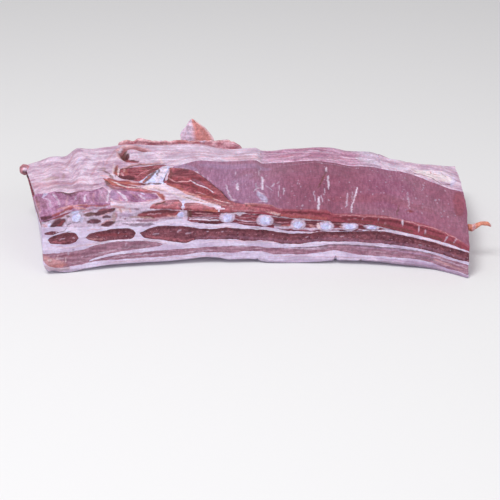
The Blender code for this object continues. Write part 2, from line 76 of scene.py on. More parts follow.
def smooth(*points):
    """A curve through (place, value) points that never swings past them."""
    x, y = (np.array(column, float) for column in zip(*points))
    run = np.diff(x)
    rise = np.diff(y) / run
    product = rise[:-1] * rise[1:]
    before, after = 2 * run[1:] + run[:-1], run[1:] + 2 * run[:-1]
    blend = np.where(product > 0, before * rise[1:] + after * rise[:-1], 1.0)
    slope = np.concatenate(([rise[0]], np.where(product > 0, (before + after) * product / blend, 0.0),
                            [rise[-1]]))

    def value(at):
        at = np.clip(at, x[0], x[-1])
        i = np.clip(np.searchsorted(x, at) - 1, 0, len(run) - 1)
        t = (at - x[i]) / run[i]
        keep = (1 + 2 * t) * (1 - t) ** 2
        return (keep * y[i] + (1 - keep) * y[i + 1]
                + run[i] * (t * (1 - t) ** 2 * slope[i] - t * t * (1 - t) * slope[i + 1]))

    return value


BACK_EDGE = smooth((-224, 124), (-205, 136), (-180, 148), (-150, 158), (-110, 170), (-60, 177),
                   (0, 176), (60, 180), (100, 182), (133, 178), (167, 170), (200, 165), (236, 168))
UNDER_EDGE = smooth((-212, 4.0), (-204, 1.5), (-195, 0.8), (-178, 3.0), (-150, 5.0), (-100, 5.0),
                    (-70, 6.0), (-50, 8.0), (-35, 7.0), (-22, 4.5), (0, 4.8), (20, 1.5), (45, 0.6),
                    (75, 2.4), (95, 4.4), (130, 5.0), (165, 3.4), (200, 1.2), (215, 0.0))
SKIN_FAT_TOP = smooth((-224, 16.5), (-217, 9.5), (-206, 6.4), (-196, 7.4), (-182, 9.3), (-164, 11),
                      (-110, 10.6), (-77, 11.8), (-44, 13.9), (-22, 12.9), (-5, 14.5), (8, 14.5),
                      (28, 10.9), (55, 10.9), (75, 13), (93, 16), (110, 13.6), (132, 12.2),
                      (180, 11), (197, 8.6), (207, 6.6), (217, 5.2), (236, 4.4))
FLANK_LEAN_TOP = smooth((-182, 9.3), (-164, 13.7), (-142, 16.5), (-99, 18.2), (-77, 18.5), (-55, 19.8),
                        (-11, 20.5), (33, 18), (55, 18.8), (77, 20.9), (93, 23.4), (110, 23.5),
                        (153, 22.2), (175, 21.3), (191, 19.7), (207, 17.2), (217, 15.8), (236, 14.6))
BRISKET_LEAN_FLOOR = smooth((-182, 9.3), (-174, 12.6), (-163, 16), (-142, 19.3), (-120, 21.4),
                            (-101, 22.9), (-95, 24.3))
BRISKET_LEAN_TOP = smooth((-224, 24), (-195, 23.8), (-184, 25), (-163, 29.8), (-142, 30.9),
                          (-131, 30.7), (-109, 28.9), (-98, 26.1), (-95, 24.3))
DARK_FLOOR = smooth((-224, 39.2), (-218, 39.2), (-215, 35.7), (-205, 33.5), (-195, 33.1), (-189, 34.2),
                    (-185, 37.7), (-179, 37.7), (-173, 35), (-163, 33.1), (-131, 33.5), (-127, 35.2),
                    (-124, 39.1), (-121, 39.1), (-115, 33.1), (-93, 29.7), (-71, 26), (-59, 28.9),
                    (-16, 28.3), (-5, 26.5), (16, 26.9), (38, 23.1), (49, 23.2), (82, 26.6),
                    (104, 27.2), (153, 26.1), (185, 23.2), (201, 20.7), (222, 18.7), (236, 19))
DARK_TOP = smooth((-224, 39.2), (-218, 39.2), (-215, 41.1), (-210, 42.7), (-199, 44.3), (-190, 43.8),
                  (-187, 41.7), (-185, 37.7), (-179, 37.7), (-173, 41), (-157, 43.1), (-150, 44.7),
                  (-133, 44.1), (-127, 42.1), (-124, 39.1), (-121, 39.1), (-109, 42.7), (-100, 44.4),
                  (-82, 44.1), (-60, 41.1), (-38, 39.3), (-27, 40.8), (-5, 38.2), (11, 38.1),
                  (33, 34.7), (44, 33.7), (66, 34), (77, 35.9), (104, 36.7), (131, 38.8), (142, 38.8),
                  (174, 34.6), (196, 31.1), (216, 28.8), (236, 28))
UPPER_SEAM_TOP = smooth((-224, 53), (-203, 52), (-187, 50), (-165, 48.5), (-136, 47.6), (-109, 47.6),
                        (-98, 49.8), (-78, 52), (-60, 47.2), (-38, 44.6), (-27, 45.6), (-20, 45.6),
                        (0, 42), (22, 40.3), (44, 36.5), (66, 36.2), (80, 37.2), (104, 38.2),
                        (126, 39.6), (140, 40.4), (150, 42), (163, 40.5), (179, 38), (196, 34.6),
                        (211, 33), (236, 30.6))
RIB_BAND_TOP = smooth((-224, 59), (-203, 64.5), (-187, 67.8), (-165, 68), (-108, 65), (-65, 62),
                      (-38, 59.3), (-11, 56.5), (11, 55.8), (33, 53), (55, 51), (76, 49.7),
                      (98, 48.4), (120, 47.2), (133, 46.6), (147, 44.2), (163, 40.5), (179, 38),
                      (196, 34.6), (211, 33), (236, 30.6))
LIP = smooth((-224, 65.5), (-212, 69), (-203, 71), (-182, 74), (-161, 75), (-130, 71.5), (-108, 69),
             (-65, 66), (-38, 64), (-5, 67.5), (20, 65.5), (33, 60.5), (82, 60.2), (92, 56),
             (109, 56.7), (147, 56.1), (163, 53.2), (184, 50.7), (206, 45.7), (216, 43.5),
             (226, 39.7), (236, 35))
CREST = smooth((-224, 72.6), (-210, 74.5), (-200, 77.3), (-188, 75), (-176, 83), (-166, 80.8), (-138, 82),
               (-100, 78), (-60, 76), (-24, 71), (6, 72.5), (15, 68.6), (60, 70.2), (78, 71), (96, 70.4),
               (120, 66.3), (142, 66.2), (164, 60.8), (186, 57.2), (214, 53.3), (236, 51))
LUMP_PLACE, LUMP_SIZE, LUMP_HEIGHT = (218.0, 116.0), (20.0, 24.0), 4.0

FLANK_LEAN_START, BRISKET_LEAN_END, BRISKET_SEAM_END, RIB_BAND_END = -182.0, -95.0, -90.0, 156.0
DARK_TIPS = {"dark_lean_1": (-218.0, -185.0), "dark_lean_2": (-179.0, -124.0),
             "dark_lean_3": (-121.0, RIGHT)}

# name: (station, height, width, depth) of the cut end
RIBS = {"costal_cartilage": (-187.0, 60.6, 10.7, 10.4), "rib_1": (-75.0, 56.6, 8.7, 6.6),
        "rib_2": (-24.6, 51.6, 12.0, 9.4), "rib_3": (16.4, 48.5, 13.0, 10.4),
        "rib_4": (52.5, 43.9, 12.0, 9.0), "rib_5": (83.0, 42.6, 13.0, 8.2),
        "rib_6": (109.0, 43.3, 14.0, 7.2), "rib_7": (133.0, 43.3, 12.0, 4.2)}
DARK_STREAK = (-213.8, 46.2, 16.5, 4.0)

# ---------------------------------------------------------------- borders of the top muscles, in plan
SHEET_BACK = [(-91, 92), (-80, 97), (-58, 113), (-23, 122), (0, 121), (59, 125), (105, 120), (129, 119),
              (151, 114), (176, 119), (187, 116), (208, 98), (230, 86), (260, 76)]
SHEET_FRONT = [(-91, 92), (-68, 87), (-57, 79), (-45, 66), (-33, 51), (-22, 28), (-5, 15.5), (20, 12)]
FORE_BACK = [(-241, 29), (-235, 36), (-220, 35.5), (-198, 30), (-175, 30), (-163, 38), (-156, 31), (-150, 9)]
# lower and upper border of each muscle that lies in the cover fat, both from its left tip to its right
BEDDED = {
    "rib_membrane": ([(-156, 20), (-148, 10), (-130, 9.5), (-109, 16), (-99, 24)],
                     [(-156, 20), (-150, 32), (-138, 33), (-121, 33), (-105, 33), (-99, 24)]),
    "neck_muscle_1": ([(-152, 68), (-145, 58), (-134, 53), (-123, 54), (-113, 70), (-99, 89), (-96, 95)],
                      [(-152, 68), (-147, 77), (-136, 82), (-120, 88), (-103, 97), (-96, 95)]),
    "neck_muscle_2": ([(-166, 58), (-161, 49), (-149, 39), (-132, 34), (-111, 35), (-94, 37)],
                      [(-166, 58), (-152, 51), (-144, 48), (-122, 43), (-94, 37)]),
    "rib_tip": ([(-123, 53), (-111, 50), (-104, 51), (-97, 53), (-94, 70), (-92, 89)],
                [(-123, 53), (-113, 71), (-106, 82), (-98, 93), (-92, 89)]),
}
# muscles that reach the cut face: their lower border ends on the lip
LIPPED = {
    "neck_muscle_3": ((-107, -75), [(-107, 8), (-100, 14), (-88, 24), (-79, 25), (-74, 17), (-74, 12)]),
    "neck_muscle_4": ((-71, -38), [(-71, 12), (-72, 17), (-60, 23), (-49, 17.5), (-40, 11), (-37, 8)]),
}
WEDGE_LOWER = [(-94, 53), (-83, 46), (-72, 38), (-49, 27), (-38, 21), (-28, 12)]
WEDGE_LIP = (-24.0, 30.0)

TRIM_TOP = smooth((-162, 72), (-156, 78), (-146, 79.5), (-140, 77), (-134, 79.5), (-118, 76),
                  (-91, 74), (-44, 73.5), (-29, 75), (-21, 72), (-6, 62))
TRIM_START, TRIM_END, TRIM_FOOT, TRIM_THICKNESS = -162.0, -6.0, 36.0, 8.0
FLAP_LEFT = smooth((74, -84), (79, -84), (88, -79), (95, -74), (98, -71.5))
FLAP_RIGHT = smooth((74, -44), (81, -48), (87, -53), (92, -60), (98, -68.5))
FLAP_FOOT, FLAP_TOP, FLAP_THICKNESS, FLAP_CURL = 76.0, 98.0, 5.0, 5.0
STRAND = [(243.4, 14, 38.0, 4.4), (246.4, 13, 39.5, 4.0), (249.6, 12, 42.0, 3.2),
          (255.0, 12, 44.3, 2.4), (260.5, 12, 43.8, 2.6), (264.8, 12, 41.0, 1.6)]
NUB_PLACE, NUB_RADII = (-260.0, 103.0, 68.0), (6.8, 8.0, 6.5)


# ---------------------------------------------------------------- the slab's shape
def front_edge(station):
    bow = BOW * ((station - BOW_CENTRE) / BOW_REACH) ** 2
    return -bow - FLARE * (np.clip(station - FLARE_START, 0, None) / (RIGHT - FLARE_START)) ** 1.5


def depth_at(station):
    return BACK_EDGE(station) - front_edge(station)


def drift(station, across, height):
    """How far a section has drifted along x on its way from the cut face to the back edge."""
    left = FAN_LEFT * (np.clip(-60 - station, 0, None) / (-60 - LEFT)) ** 1.3
    right = FAN_RIGHT * (np.clip(station - 60, 0, None) / (RIGHT - 60)) ** 2
    foot = FAN_FOOT + (1 - FAN_FOOT) * np.clip(height / FAN_HEIGHT, 0, 1)
    return left * foot * across + right * (1 - (1 - across) ** 2)


def spot(station, across, height):
    """A point of the slab, in mm, given along, across and up."""
    x = station + drift(station, across, height)
    y = front_edge(station) + across * depth_at(station) + FACE_LEAN * height * (1 - across) ** 2
    return x, y, height


def shoulder(station, across):
    return np.clip(1 - (1 - across) * depth_at(station) / SHOULDER_WIDTH, 0, 1) ** 2


def roof(station, across):
    """Height of the slab's upper side."""
    depth = across * depth_at(station)
    climb = ease(depth / CREST_DEPTH)
    x = station + drift(station, across, FAN_HEIGHT)
    reach = ((x - LUMP_PLACE[0]) / LUMP_SIZE[0]) ** 2
    reach = reach + ((front_edge(station) + depth - LUMP_PLACE[1]) / LUMP_SIZE[1]) ** 2
    return (LIP(station) + climb * (CREST(station) - LIP(station)) - SHOULDER_DROP * shoulder(station, across)
            + LUMP_HEIGHT * np.exp(-reach))


def under_side(station, across):
    """Height of the skin side: flat, but lifted along the cut face and at the rounded ends."""
    height = UNDER_EDGE(station) * np.clip(1 - across / FOOT_SHARE, 0, 1)
    for radius, inside in ((CORNER_LEFT, station - LEFT), (CORNER_RIGHT, RIGHT - station)):
        reach = np.clip(1 - inside / radius, 0, 1)
        height = np.maximum(height, radius * (1 - np.sqrt(1 - reach * reach)))
    return height


def slab_place(x, y):
    """Station and across of a place in plan on the upper side."""
    x, y = np.asarray(x, float), np.asarray(y, float)
    station, across = x.copy(), np.full_like(x, 0.5)
    for _ in range(30):
        lean = FACE_LEAN * roof(station, across) * (1 - across) ** 2
        across = (across + np.clip((y - lean - front_edge(station)) / depth_at(station), 0, 1)) / 2
        station = (station + x - drift(station, across, FAN_HEIGHT)) / 2
    return station, across


def lip_point(x):
    """The place in plan of the cut face's upper rim."""
    return front_edge(x) + FACE_LEAN * LIP(x)


def ease(t):
    t = np.clip(t, 0, 1)
    return t * t * (3 - 2 * t)


def round_off(first, second, radius):
    """Round the corner where two distances from two faces are both small."""
    one, two = np.clip(radius - first, 0, None), np.clip(radius - second, 0, None)
    length = np.maximum(np.hypot(one, two), 1e-9)
    scale = np.maximum(one, two) / length
    return (np.where(one > 0, radius - one * scale, first),
            np.where(two > 0, radius - two * scale, second))


def noise(x, y, size, seed):
    """Soft bumps from -1 to 1, about size across."""
    lattice = np.random.default_rng(seed).uniform(-1, 1, (97, 97))
    gx, gy = np.asarray(x) / size + 500, np.asarray(y) / size + 500
    column, row = np.floor(gx).astype(int), np.floor(gy).astype(int)
    right, up = ease(gx - column), ease(gy - row)
    near = lattice[row % 97, column % 97] * (1 - right) + lattice[row % 97, (column + 1) % 97] * right
    far = (lattice[(row + 1) % 97, column % 97] * (1 - right)
           + lattice[(row + 1) % 97, (column + 1) % 97] * right)
    return near * (1 - up) + far * up


def rough(x, y, seed, *layers):
    """A sum of noises, each given as (size, height)."""
    return sum(height * noise(x, y, size, seed + 7 * i) for i, (size, height) in enumerate(layers))


def along_line(x, y, points):
    """Distance from each place to a line through points, and how far along it the nearest point is."""
    best, share = np.full(np.shape(x), 1e9), np.zeros(np.shape(x))
    points = np.array(points, float)
    if len(points) == 1:
        return np.hypot(x - points[0, 0], y - points[0, 1]), share
    total = np.hypot(*np.diff(points, axis=0).T).sum()
    passed = 0.0
    for (ax, ay), (bx, by) in zip(points[:-1], points[1:]):
        length = max(math.hypot(bx - ax, by - ay), 1e-6)
        t = np.clip(((x - ax) * (bx - ax) + (y - ay) * (by - ay)) / length ** 2, 0, 1)
        gap = np.hypot(x - ax - t * (bx - ax), y - ay - t * (by - ay))
        share = np.where(gap < best, (passed + t * length) / total, share)
        best = np.minimum(gap, best)
        passed += length
    return best, share


def inside_by(x, y, outline):
    """How far inside an outline each place lies, negative outside it."""
    outline = np.array(outline, float)
    gap = along_line(x, y, np.vstack([outline, outline[:1]]))[0]
    odd = np.zeros(np.shape(x), bool)
    for (ax, ay), (bx, by) in zip(outline, np.roll(outline, -1, axis=0)):
        if ay != by:
            odd ^= ((ay > y) != (by > y)) & (x < (bx - ax) * (y - ay) / (by - ay) + ax)
    return np.where(odd, gap, -gap)


def curve(points):
    """A smooth line through points, from 0 at its start to 1 at its end."""
    points = np.array(points, float)
    reach = np.concatenate([[0], np.cumsum(np.hypot(*np.diff(points, axis=0).T))])
    reach /= reach[-1]
    x, y = smooth(*zip(reach, points[:, 0])), smooth(*zip(reach, points[:, 1]))
    return lambda t: (x(t), y(t))


def spaced(start, end, step, rim=(0.5, 1.2, 2.2)):
    """Grid lines from start to end, closer together near both ends."""
    middle = np.linspace(start + rim[-1] + step / 2, end - rim[-1] - step / 2,
                         max(2, round((end - start - 2 * rim[-1] - step) / step) + 1))
    return np.concatenate([[start], start + np.array(rim), middle, end - np.array(rim[::-1]), [end]])


# ---------------------------------------------------------------- colours, linear
FAT, FAT_WHITE, FAT_ROSE = (0.60, 0.46, 0.62), (0.76, 0.63, 0.80), (0.56, 0.29, 0.37)
SHEET_LILAC, SHEET_DEEP, SHEET_END = (0.39, 0.21, 0.36), (0.25, 0.07, 0.12), (0.30, 0.10, 0.16)
SHEET_BLOTCH, STRIP_RED, FLAP_RED = (0.36, 0.15, 0.23), (0.29, 0.05, 0.075), (0.65, 0.25, 0.22)
FORE_PALE, LUMP_WHITE = (0.56, 0.34, 0.50), (0.88, 0.74, 0.80)
BLUISH, CREAM, LILAC, GREY = (0.66, 0.65, 0.94), (0.84, 0.62, 0.68), (0.42, 0.27, 0.46), (0.22, 0.15, 0.21)
AMBER, ORANGE, ROSE, RED = (0.64, 0.31, 0.32), (0.43, 0.12, 0.105), (0.46, 0.14, 0.18), (0.27, 0.045, 0.06)
DARK, BROWN, MAUVE, PINK = (0.105, 0.02, 0.033), (0.15, 0.052, 0.048), (0.28, 0.12, 0.19), (0.70, 0.36, 0.42)
BLOOD, TAN, PURPLE = (0.08, 0.008, 0.016), (0.42, 0.26, 0.26), (0.26, 0.10, 0.22)


class Piece:
    """A closed block with a grid on all its sides, kept as arrays while it is shaped and painted."""

    def __init__(self, name, columns, rows, levels):
        bpy.ops.object.select_all(action="DESELECT")
        bpy.ops.mesh.primitive_grid_add(x_subdivisions=len(columns) - 1, y_subdivisions=len(rows) - 1,
                                        size=1, location=(0, 0, 0))
        self.object = bpy.context.active_object
        self.object.name = self.object.data.name = self.name = name
        bpy.ops.object.mode_set(mode="EDIT")
        bpy.ops.mesh.extrude_region_move(TRANSFORM_OT_translate={"value": (0, 0, 1)})
        bpy.ops.mesh.select_mode(type="EDGE")
        bpy.ops.mesh.select_all(action="DESELECT")
        for edge in bmesh.from_edit_mesh(self.object.data).edges:
            if abs(edge.verts[0].co.z - edge.verts[1].co.z) > 0.5:
                edge.select_set(True)
        bmesh.update_edit_mesh(self.object.data)
        bpy.ops.mesh.subdivide(number_cuts=len(levels) - 2)
        bpy.ops.object.mode_set(mode="OBJECT")
        place = np.zeros(len(self.object.data.vertices) * 3, np.float32)
        self.object.data.vertices.foreach_get("co", place)
        place = place.reshape(-1, 3) + (0.5, 0.5, 0)
        self.u, self.v, self.w = (
            np.interp(place[:, i] * (len(lines) - 1), np.arange(len(lines)), lines)
            for i, lines in enumerate((columns, rows, levels)))
        self.paint = np.zeros((len(place), 4))

    def set_place(self, x, y, z):
        self.x, self.y, self.z = (np.broadcast_to(value, self.u.shape).astype(float) for value in (x, y, z))

    def brush(self, mask, colour):
        """Lay a colour over the paint; the paint is kept multiplied by how much it covers."""
        mask = np.clip(np.broadcast_to(mask, self.u.shape), 0, 1)[:, None]
        self.paint = self.paint * (1 - mask) + np.append(colour, 1.0) * mask

    def strokes(self, x, y, marks, where, seed=3):
        """Paint lines given as (colour, width, strength, points) on the plane of x and y."""
        shown = np.flatnonzero(where > 0.01)
        x, y, where = x[shown], y[shown], where[shown]
        wander_x = x + rough(x, y, seed, (5, 0.7), (2.2, 0.4))
        wander_y = y + rough(x, y, seed + 50, (5, 0.7), (2.2, 0.4))
        for colour, width, strength, *points in marks:
            gap, share = along_line(wander_x, wander_y, points)
            taper = 1.0
            if len(points) > 1:
                taper = 0.45 + 0.55 * np.sin(np.pi * np.clip(share, 0.02, 0.98)) ** 0.6
            mask = np.zeros(len(self.u))
            mask[shown] = where * strength * (1 - ease((gap / (width / 2 * taper) - 0.62) / 0.66))
            self.brush(mask, colour)

    def finish(self, material, slot, grain, nodes=()):
        """Write the arrays to the mesh and close it, then hang it on the root body and hide the parts it
        stands for.
        """
        obj, mesh = self.object, self.object.data
        place = np.stack([self.x - CENTRE[0], self.y - CENTRE[1], self.z], axis=1) * MM
        mesh.vertices.foreach_set("co", place.astype(np.float32).ravel())
        tint = mesh.attributes.new("tint", "FLOAT_COLOR", "POINT")
        tint.data.foreach_set("color", self.paint.astype(np.float32).ravel())
        fibre = mesh.attributes.new("grain", "FLOAT_VECTOR", "POINT")
        grain = np.stack([np.broadcast_to(g, self.u.shape) for g in grain], axis=1)
        fibre.data.foreach_set("vector", (grain * MM).astype(np.float32).ravel())
        bpy.ops.object.select_all(action="DESELECT")
        obj.select_set(True)
        bpy.context.view_layer.objects.active = obj
        bpy.ops.object.mode_set(mode="EDIT")
        bpy.ops.mesh.select_all(action="SELECT")
        bpy.ops.mesh.remove_doubles(threshold=0.000002)
        bpy.ops.mesh.normals_make_consistent(inside=False)
        open_edges = [e for e in bmesh.from_edit_mesh(mesh).edges if not e.is_manifold]
        bpy.ops.object.mode_set(mode="OBJECT")
        if open_edges:
            raise RuntimeError(f"{self.name} isn't closed: {len(open_edges)} open edges")
        bpy.ops.object.shade_smooth_by_angle(angle=math.radians(50))
        mesh.materials.clear()
        mesh.materials.append(material)
        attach(obj, "root")
        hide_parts(*(nodes or (self.name,)))
        return obj


# ---------------------------------------------------------------- materials
class Link:
    """A socket of a material, for writing its maths as expressions."""

    def __init__(self, finish, socket):
        self.finish, self.socket = finish, socket
        self.is_colour = socket.type in ("RGBA", "VECTOR")

    def _with(self, operation, other, swapped=False):
        pair = (other, self) if swapped else (self, other)
        is_colour = any(getattr(p, "is_colour", isinstance(p, tuple)) for p in pair)
        kind = "ShaderNodeVectorMath" if is_colour else "ShaderNodeMath"
        return self.finish.node(kind, {"operation": operation}, {0: pair[0], 1: pair[1]})

    def __add__(self, other):
        return self._with("ADD", other)

    __radd__ = __add__

    def __sub__(self, other):
        return self._with("SUBTRACT", other)

    def __rsub__(self, other):
        return self._with("SUBTRACT", other, swapped=True)

    def __mul__(self, other):
        return self._with("MULTIPLY", other)

    __rmul__ = __mul__


class Finish:
    """One material, with its nodes made by a single method."""

    def __init__(self, name, **constants):
        self.material = bpy.data.materials.new(name)
        self.material.use_nodes = True
        self.nodes = self.material.node_tree.nodes
        self.shader = self.nodes["Principled BSDF"]
        for socket, value in constants.items():
            self.shader.inputs[socket.replace("_", " ")].default_value = value

    def node(self, kind, settings=None, inputs=None, output=0):
        made = self.nodes.new(kind)
        for setting, value in (settings or {}).items():
            setattr(made, setting, value)
        for socket, value in (inputs or {}).items():
            self.feed(made.inputs[socket], value)
        return Link(self, made.outputs[output])

    def feed(self, socket, value):
        if isinstance(value, Link):
            self.material.node_tree.links.new(value.socket, socket)
        elif socket.type == "RGBA":
            socket.default_value = (*value, 1.0)
        elif socket.type == "VECTOR" and not isinstance(value, tuple):
            socket.default_value = (value,) * 3
        else:
            socket.default_value = value

    def attribute(self, name, output):
        return self.node("ShaderNodeAttribute", {"attribute_name": name}, output=output)

    def noise(self, at, scale, detail=3.0, roughness=0.55, distortion=0.0):
        return self.node("ShaderNodeTexNoise", {}, {"Vector": at, "Scale": scale, "Detail": detail,
                                                    "Roughness": roughness, "Distortion": distortion})

    def step(self, value, low, high):
        """0 under low, 1 over high, and soft between."""
        return self.node("ShaderNodeMapRange", {"interpolation_type": "SMOOTHSTEP"},
                         {"Value": value, "From Min": low, "From Max": high})

    def mix(self, factor, first, second):
        return self.node("ShaderNodeMix", {"data_type": "RGBA"}, {0: factor, 6: first, 7: second}, output=2)

    def bump(self, height, distance):
        return self.node("ShaderNodeBump", {}, {"Height": height, "Distance": distance})


# How each tissue differs: deep is the deep colour as a share of the light one, strand is how many
# strands a metre run along, across and up, mottle is a size and a share, and flecks are fat in lean:
# their spacing, how rare they are, their colour and their strength.
TISSUES = {
    "fat": dict(deep=(0.74, 0.66, 0.72), strand=(30.0, 260.0, 260.0), mottle=(60.0, 0.45),
                wet=(0.40, 0.58), coat=0.12, relief=1.0, soft=0.2,
                speckle=0.07),
    "cover_fat": dict(deep=(0.60, 0.46, 0.54), strand=(24.0, 170.0, 170.0), mottle=(55.0, 0.5),
                      flecks=((26.0, 210.0, 210.0), 0.62, (0.80, 0.68, 0.80), 0.6), wet=(0.38, 0.58),
                      coat=0.16, relief=2.4, soft=0.2, speckle=0.10),
    "pale_lean": dict(deep=(0.60, 0.47, 0.53), strand=(55.0, 420.0, 420.0), mottle=(70.0, 0.35),
                      flecks=((40.0, 500.0, 500.0), 0.62, (0.62, 0.46, 0.56), 0.6), coat=0.14, relief=1.4),
    "dark_lean": dict(deep=(0.40, 0.28, 0.38), strand=(240.0, 420.0, 300.0), mottle=(80.0, 0.45),
                      flecks=((330.0, 620.0, 560.0), 0.63, (0.54, 0.30, 0.38), 0.6), coat=0.2, relief=2.2),
    "rib_meat": dict(deep=(0.36, 0.22, 0.28), strand=(40.0, 560.0, 560.0), mottle=(60.0, 0.3),
                     flecks=((45.0, 560.0, 560.0), 0.60, (0.52, 0.27, 0.33), 0.75), coat=0.2, relief=2.2),
    "sheet": dict(deep=(0.70, 0.52, 0.64), strand=(430.0, 70.0, 430.0), mottle=(36.0, 0.35),
                  flecks=((330.0, 190.0, 330.0), 0.70, (0.60, 0.40, 0.54), 0.5), wet=(0.40, 0.56),
                  coat=0.14, relief=1.0, speckle=0.10),
    "fore_muscle": dict(deep=(0.52, 0.34, 0.44), strand=(300.0, 40.0, 300.0), mottle=(60.0, 0.6),
                        flecks=((330.0, 60.0, 330.0), 0.64, (0.62, 0.42, 0.60), 0.6), wet=(0.40, 0.58),
                        coat=0.18, relief=1.6),
    "red_muscle": dict(deep=(0.40, 0.20, 0.28), strand=(45.0, 330.0, 330.0), mottle=(80.0, 0.5),
                       flecks=((80.0, 480.0, 480.0), 0.66, (0.60, 0.30, 0.34), 0.6), coat=0.2, relief=2.4,
                       speckle=0.26),
    "back_strip": dict(deep=(0.56, 0.38, 0.46), strand=(26.0, 260.0, 260.0), mottle=(50.0, 0.4),
                       flecks=((26.0, 240.0, 240.0), 0.62, (0.78, 0.64, 0.78), 0.6), wet=(0.40, 0.58),
                       coat=0.16, relief=1.8, soft=0.2),
    "strand": dict(deep=(0.60, 0.42, 0.42), strand=(90.0, 400.0, 400.0), mottle=(120.0, 0.4), coat=0.25,
                   relief=1.6),
    "trim": dict(deep=(0.50, 0.26, 0.30), strand=(60.0, 260.0, 260.0), mottle=(90.0, 0.5), coat=0.25,
                 flecks=((60.0, 300.0, 300.0), 0.62, (0.80, 0.52, 0.52), 0.6), relief=2.6),
    "bone": dict(deep=(0.74, 0.68, 0.80), strand=(300.0, 300.0, 300.0), mottle=(140.0, 0.6),
                 wet=(0.30, 0.45), coat=0.2, relief=1.0, soft=0.3),
}


def tissue(context, name):
    """The wet raw finish of one tissue: strands and mottling between two colours, under the paint."""
    label = "raw " + name.replace("_", " ")
    if label in bpy.data.materials:
        return bpy.data.materials[label]
    recipe = dict(wet=(0.42, 0.60), flecks=None, soft=0.12, speckle=0.17) | TISSUES[name]
    light = tuple(getattr(context.scene.belly_colours, name))
    deep = tuple(share * value for share, value in zip(recipe["deep"], light))
    finish = Finish(label, Subsurface_Weight=recipe["soft"], Subsurface_Radius=(1.0, 0.35, 0.25),
                    Subsurface_Scale=0.002, Coat_Roughness=0.14, IOR=1.36, Coat_IOR=1.36)
    place = finish.node("ShaderNodeTexCoord", output="Object")
    grain = finish.attribute("grain", "Vector")
    blotch = finish.noise(place, recipe["mottle"][0], 4.0)
    pores = finish.noise(place, 900.0, 2.0)
    strands = finish.noise(grain * recipe["strand"], 1.0, 3.0, 0.6)
    mottle_share = recipe["mottle"][1]
    share = (finish.step(strands, 0.42, 0.60) * (1 - mottle_share)
             + finish.step(blotch, 0.40, 0.60) * mottle_share)
    colour = finish.mix(share, deep, light)
    if recipe["flecks"]:
        spacing, rarity, fleck_colour, strength = recipe["flecks"]
        spread = finish.noise(grain * spacing, 1.0, 2.0, 0.6, 0.4)
        colour = finish.mix(finish.step(spread, rarity, rarity + 0.05) * strength, colour, fleck_colour)
    covered, painted = finish.attribute("tint", "Alpha"), finish.attribute("tint", "Color")
    colour = colour * (1 - covered) + painted * (0.76 + 0.36 * share)
    speckle = finish.step(finish.noise(place, 330.0, 3.0, 0.65), 0.36, 0.64)
    shade = (1 - recipe["speckle"]) + 2 * recipe["speckle"] * speckle
    dry, rough_most = recipe["wet"]
    finish.feed(finish.shader.inputs["Base Color"], colour * shade)
    finish.feed(finish.shader.inputs["Roughness"], dry + (rough_most - dry) * finish.step(blotch, 0.3, 0.7))
    wetness = 0.4 + 0.6 * finish.step(pores, 0.4, 0.6)
    finish.feed(finish.shader.inputs["Coat Weight"], recipe["coat"] * wetness)
    depth = recipe["relief"] * context.scene.belly_sizes.strand_relief
    finish.feed(finish.shader.inputs["Normal"], finish.bump(0.6 * strands + 0.4 * pores, depth))
    return finish.material


# ---------------------------------------------------------------- relief of the slab's outside
FRONT_RELIEF = ((24, 0.55), (7, 0.22), (2.6, 0.10))
END_RELIEF = ((18, 0.5), (6, 0.35), (2.6, 0.12))
BACK_RELIEF = ((20, 0.9), (7, 0.4), (3.0, 0.15))
TOP_RELIEF = ((34, 0.7), (13, 0.35), (4, 0.10))
SKIN_DEEP = 9.0                     # the relief of an outside dies out this far into the slab


def set_on_slab(piece, station, across, height, proud=0.0):
    """Place a piece's vertices on the slab, with rounded upright corners and an uneven outside.

    proud is how far the piece stands out of its neighbours.
    """
    depth = depth_at(station)
    from_end = np.minimum(station - LEFT, RIGHT - station)
    side = np.where(station < (LEFT + RIGHT) / 2, -1.0, 1.0)
    end, front = round_off(from_end, across * depth, END_ROUND)
    end, back = round_off(end, (1 - across) * depth, FRONT_ROUND)
    station = np.where(side < 0, LEFT + end, RIGHT - end)
    across = np.where(across < 0.5, front / depth, 1 - back / depth)
    x, y, z = spot(station, across, height)
    at_front, at_back, at_end = (np.clip(1 - gap / SKIN_DEEP, 0, 1) ** 2 for gap in (front, back, end))
    y = y - at_front * (rough(station, height, 11, *FRONT_RELIEF) + proud - 0.5)
    y = y + at_back * (rough(station, height, 21, *BACK_RELIEF) + np.minimum(proud, 0) - 0.8)
    x = x + at_end * side * (rough(y, height, 31, *END_RELIEF) + np.minimum(proud, 0) - 0.3)
    piece.set_place(x, y, z)
    piece.station, piece.across, piece.front = station, across, front
    piece.on_face = np.clip(1 - front / 2.5, 0, 1) ** 0.5
    return piece


def along_slab(start=LEFT, end=RIGHT, step=STEP):
    return spaced(start, end, step, rim=(0.4, 0.9, 1.6))


LAYER_ROWS = np.array([0, 0.003, 0.007, 0.013, 0.022, 0.04, 0.08, 0.2, 0.4, 0.62, 0.8, 0.88, 0.93, 0.96,
                       0.98, 0.99, 1.0])


def ragged(level, seed, thin=None, swell=0.0):
    """A layer's border with small wobbles, which die out where the layer itself does."""
    def height(station):
        wobble = swell + rough(station, 0 * station, seed, (9, 0.35), (3.2, 0.30), (1.6, 0.12))
        return level(station) + wobble * (1.0 if thin is None else np.clip(thin(station) / 3, 0, 1))
    return height


def brisket_floor(station):
    close = np.clip((station - BRISKET_LEAN_END) / (BRISKET_SEAM_END - BRISKET_LEAN_END), 0, 1)
    beyond = (1 - close) * BRISKET_LEAN_TOP(BRISKET_LEAN_END) + close * FLANK_LEAN_TOP(station)
    middle = np.where(station <= BRISKET_LEAN_END, BRISKET_LEAN_FLOOR(station), beyond)
    return np.where(station <= FLANK_LEAN_START, SKIN_FAT_TOP(station), middle)


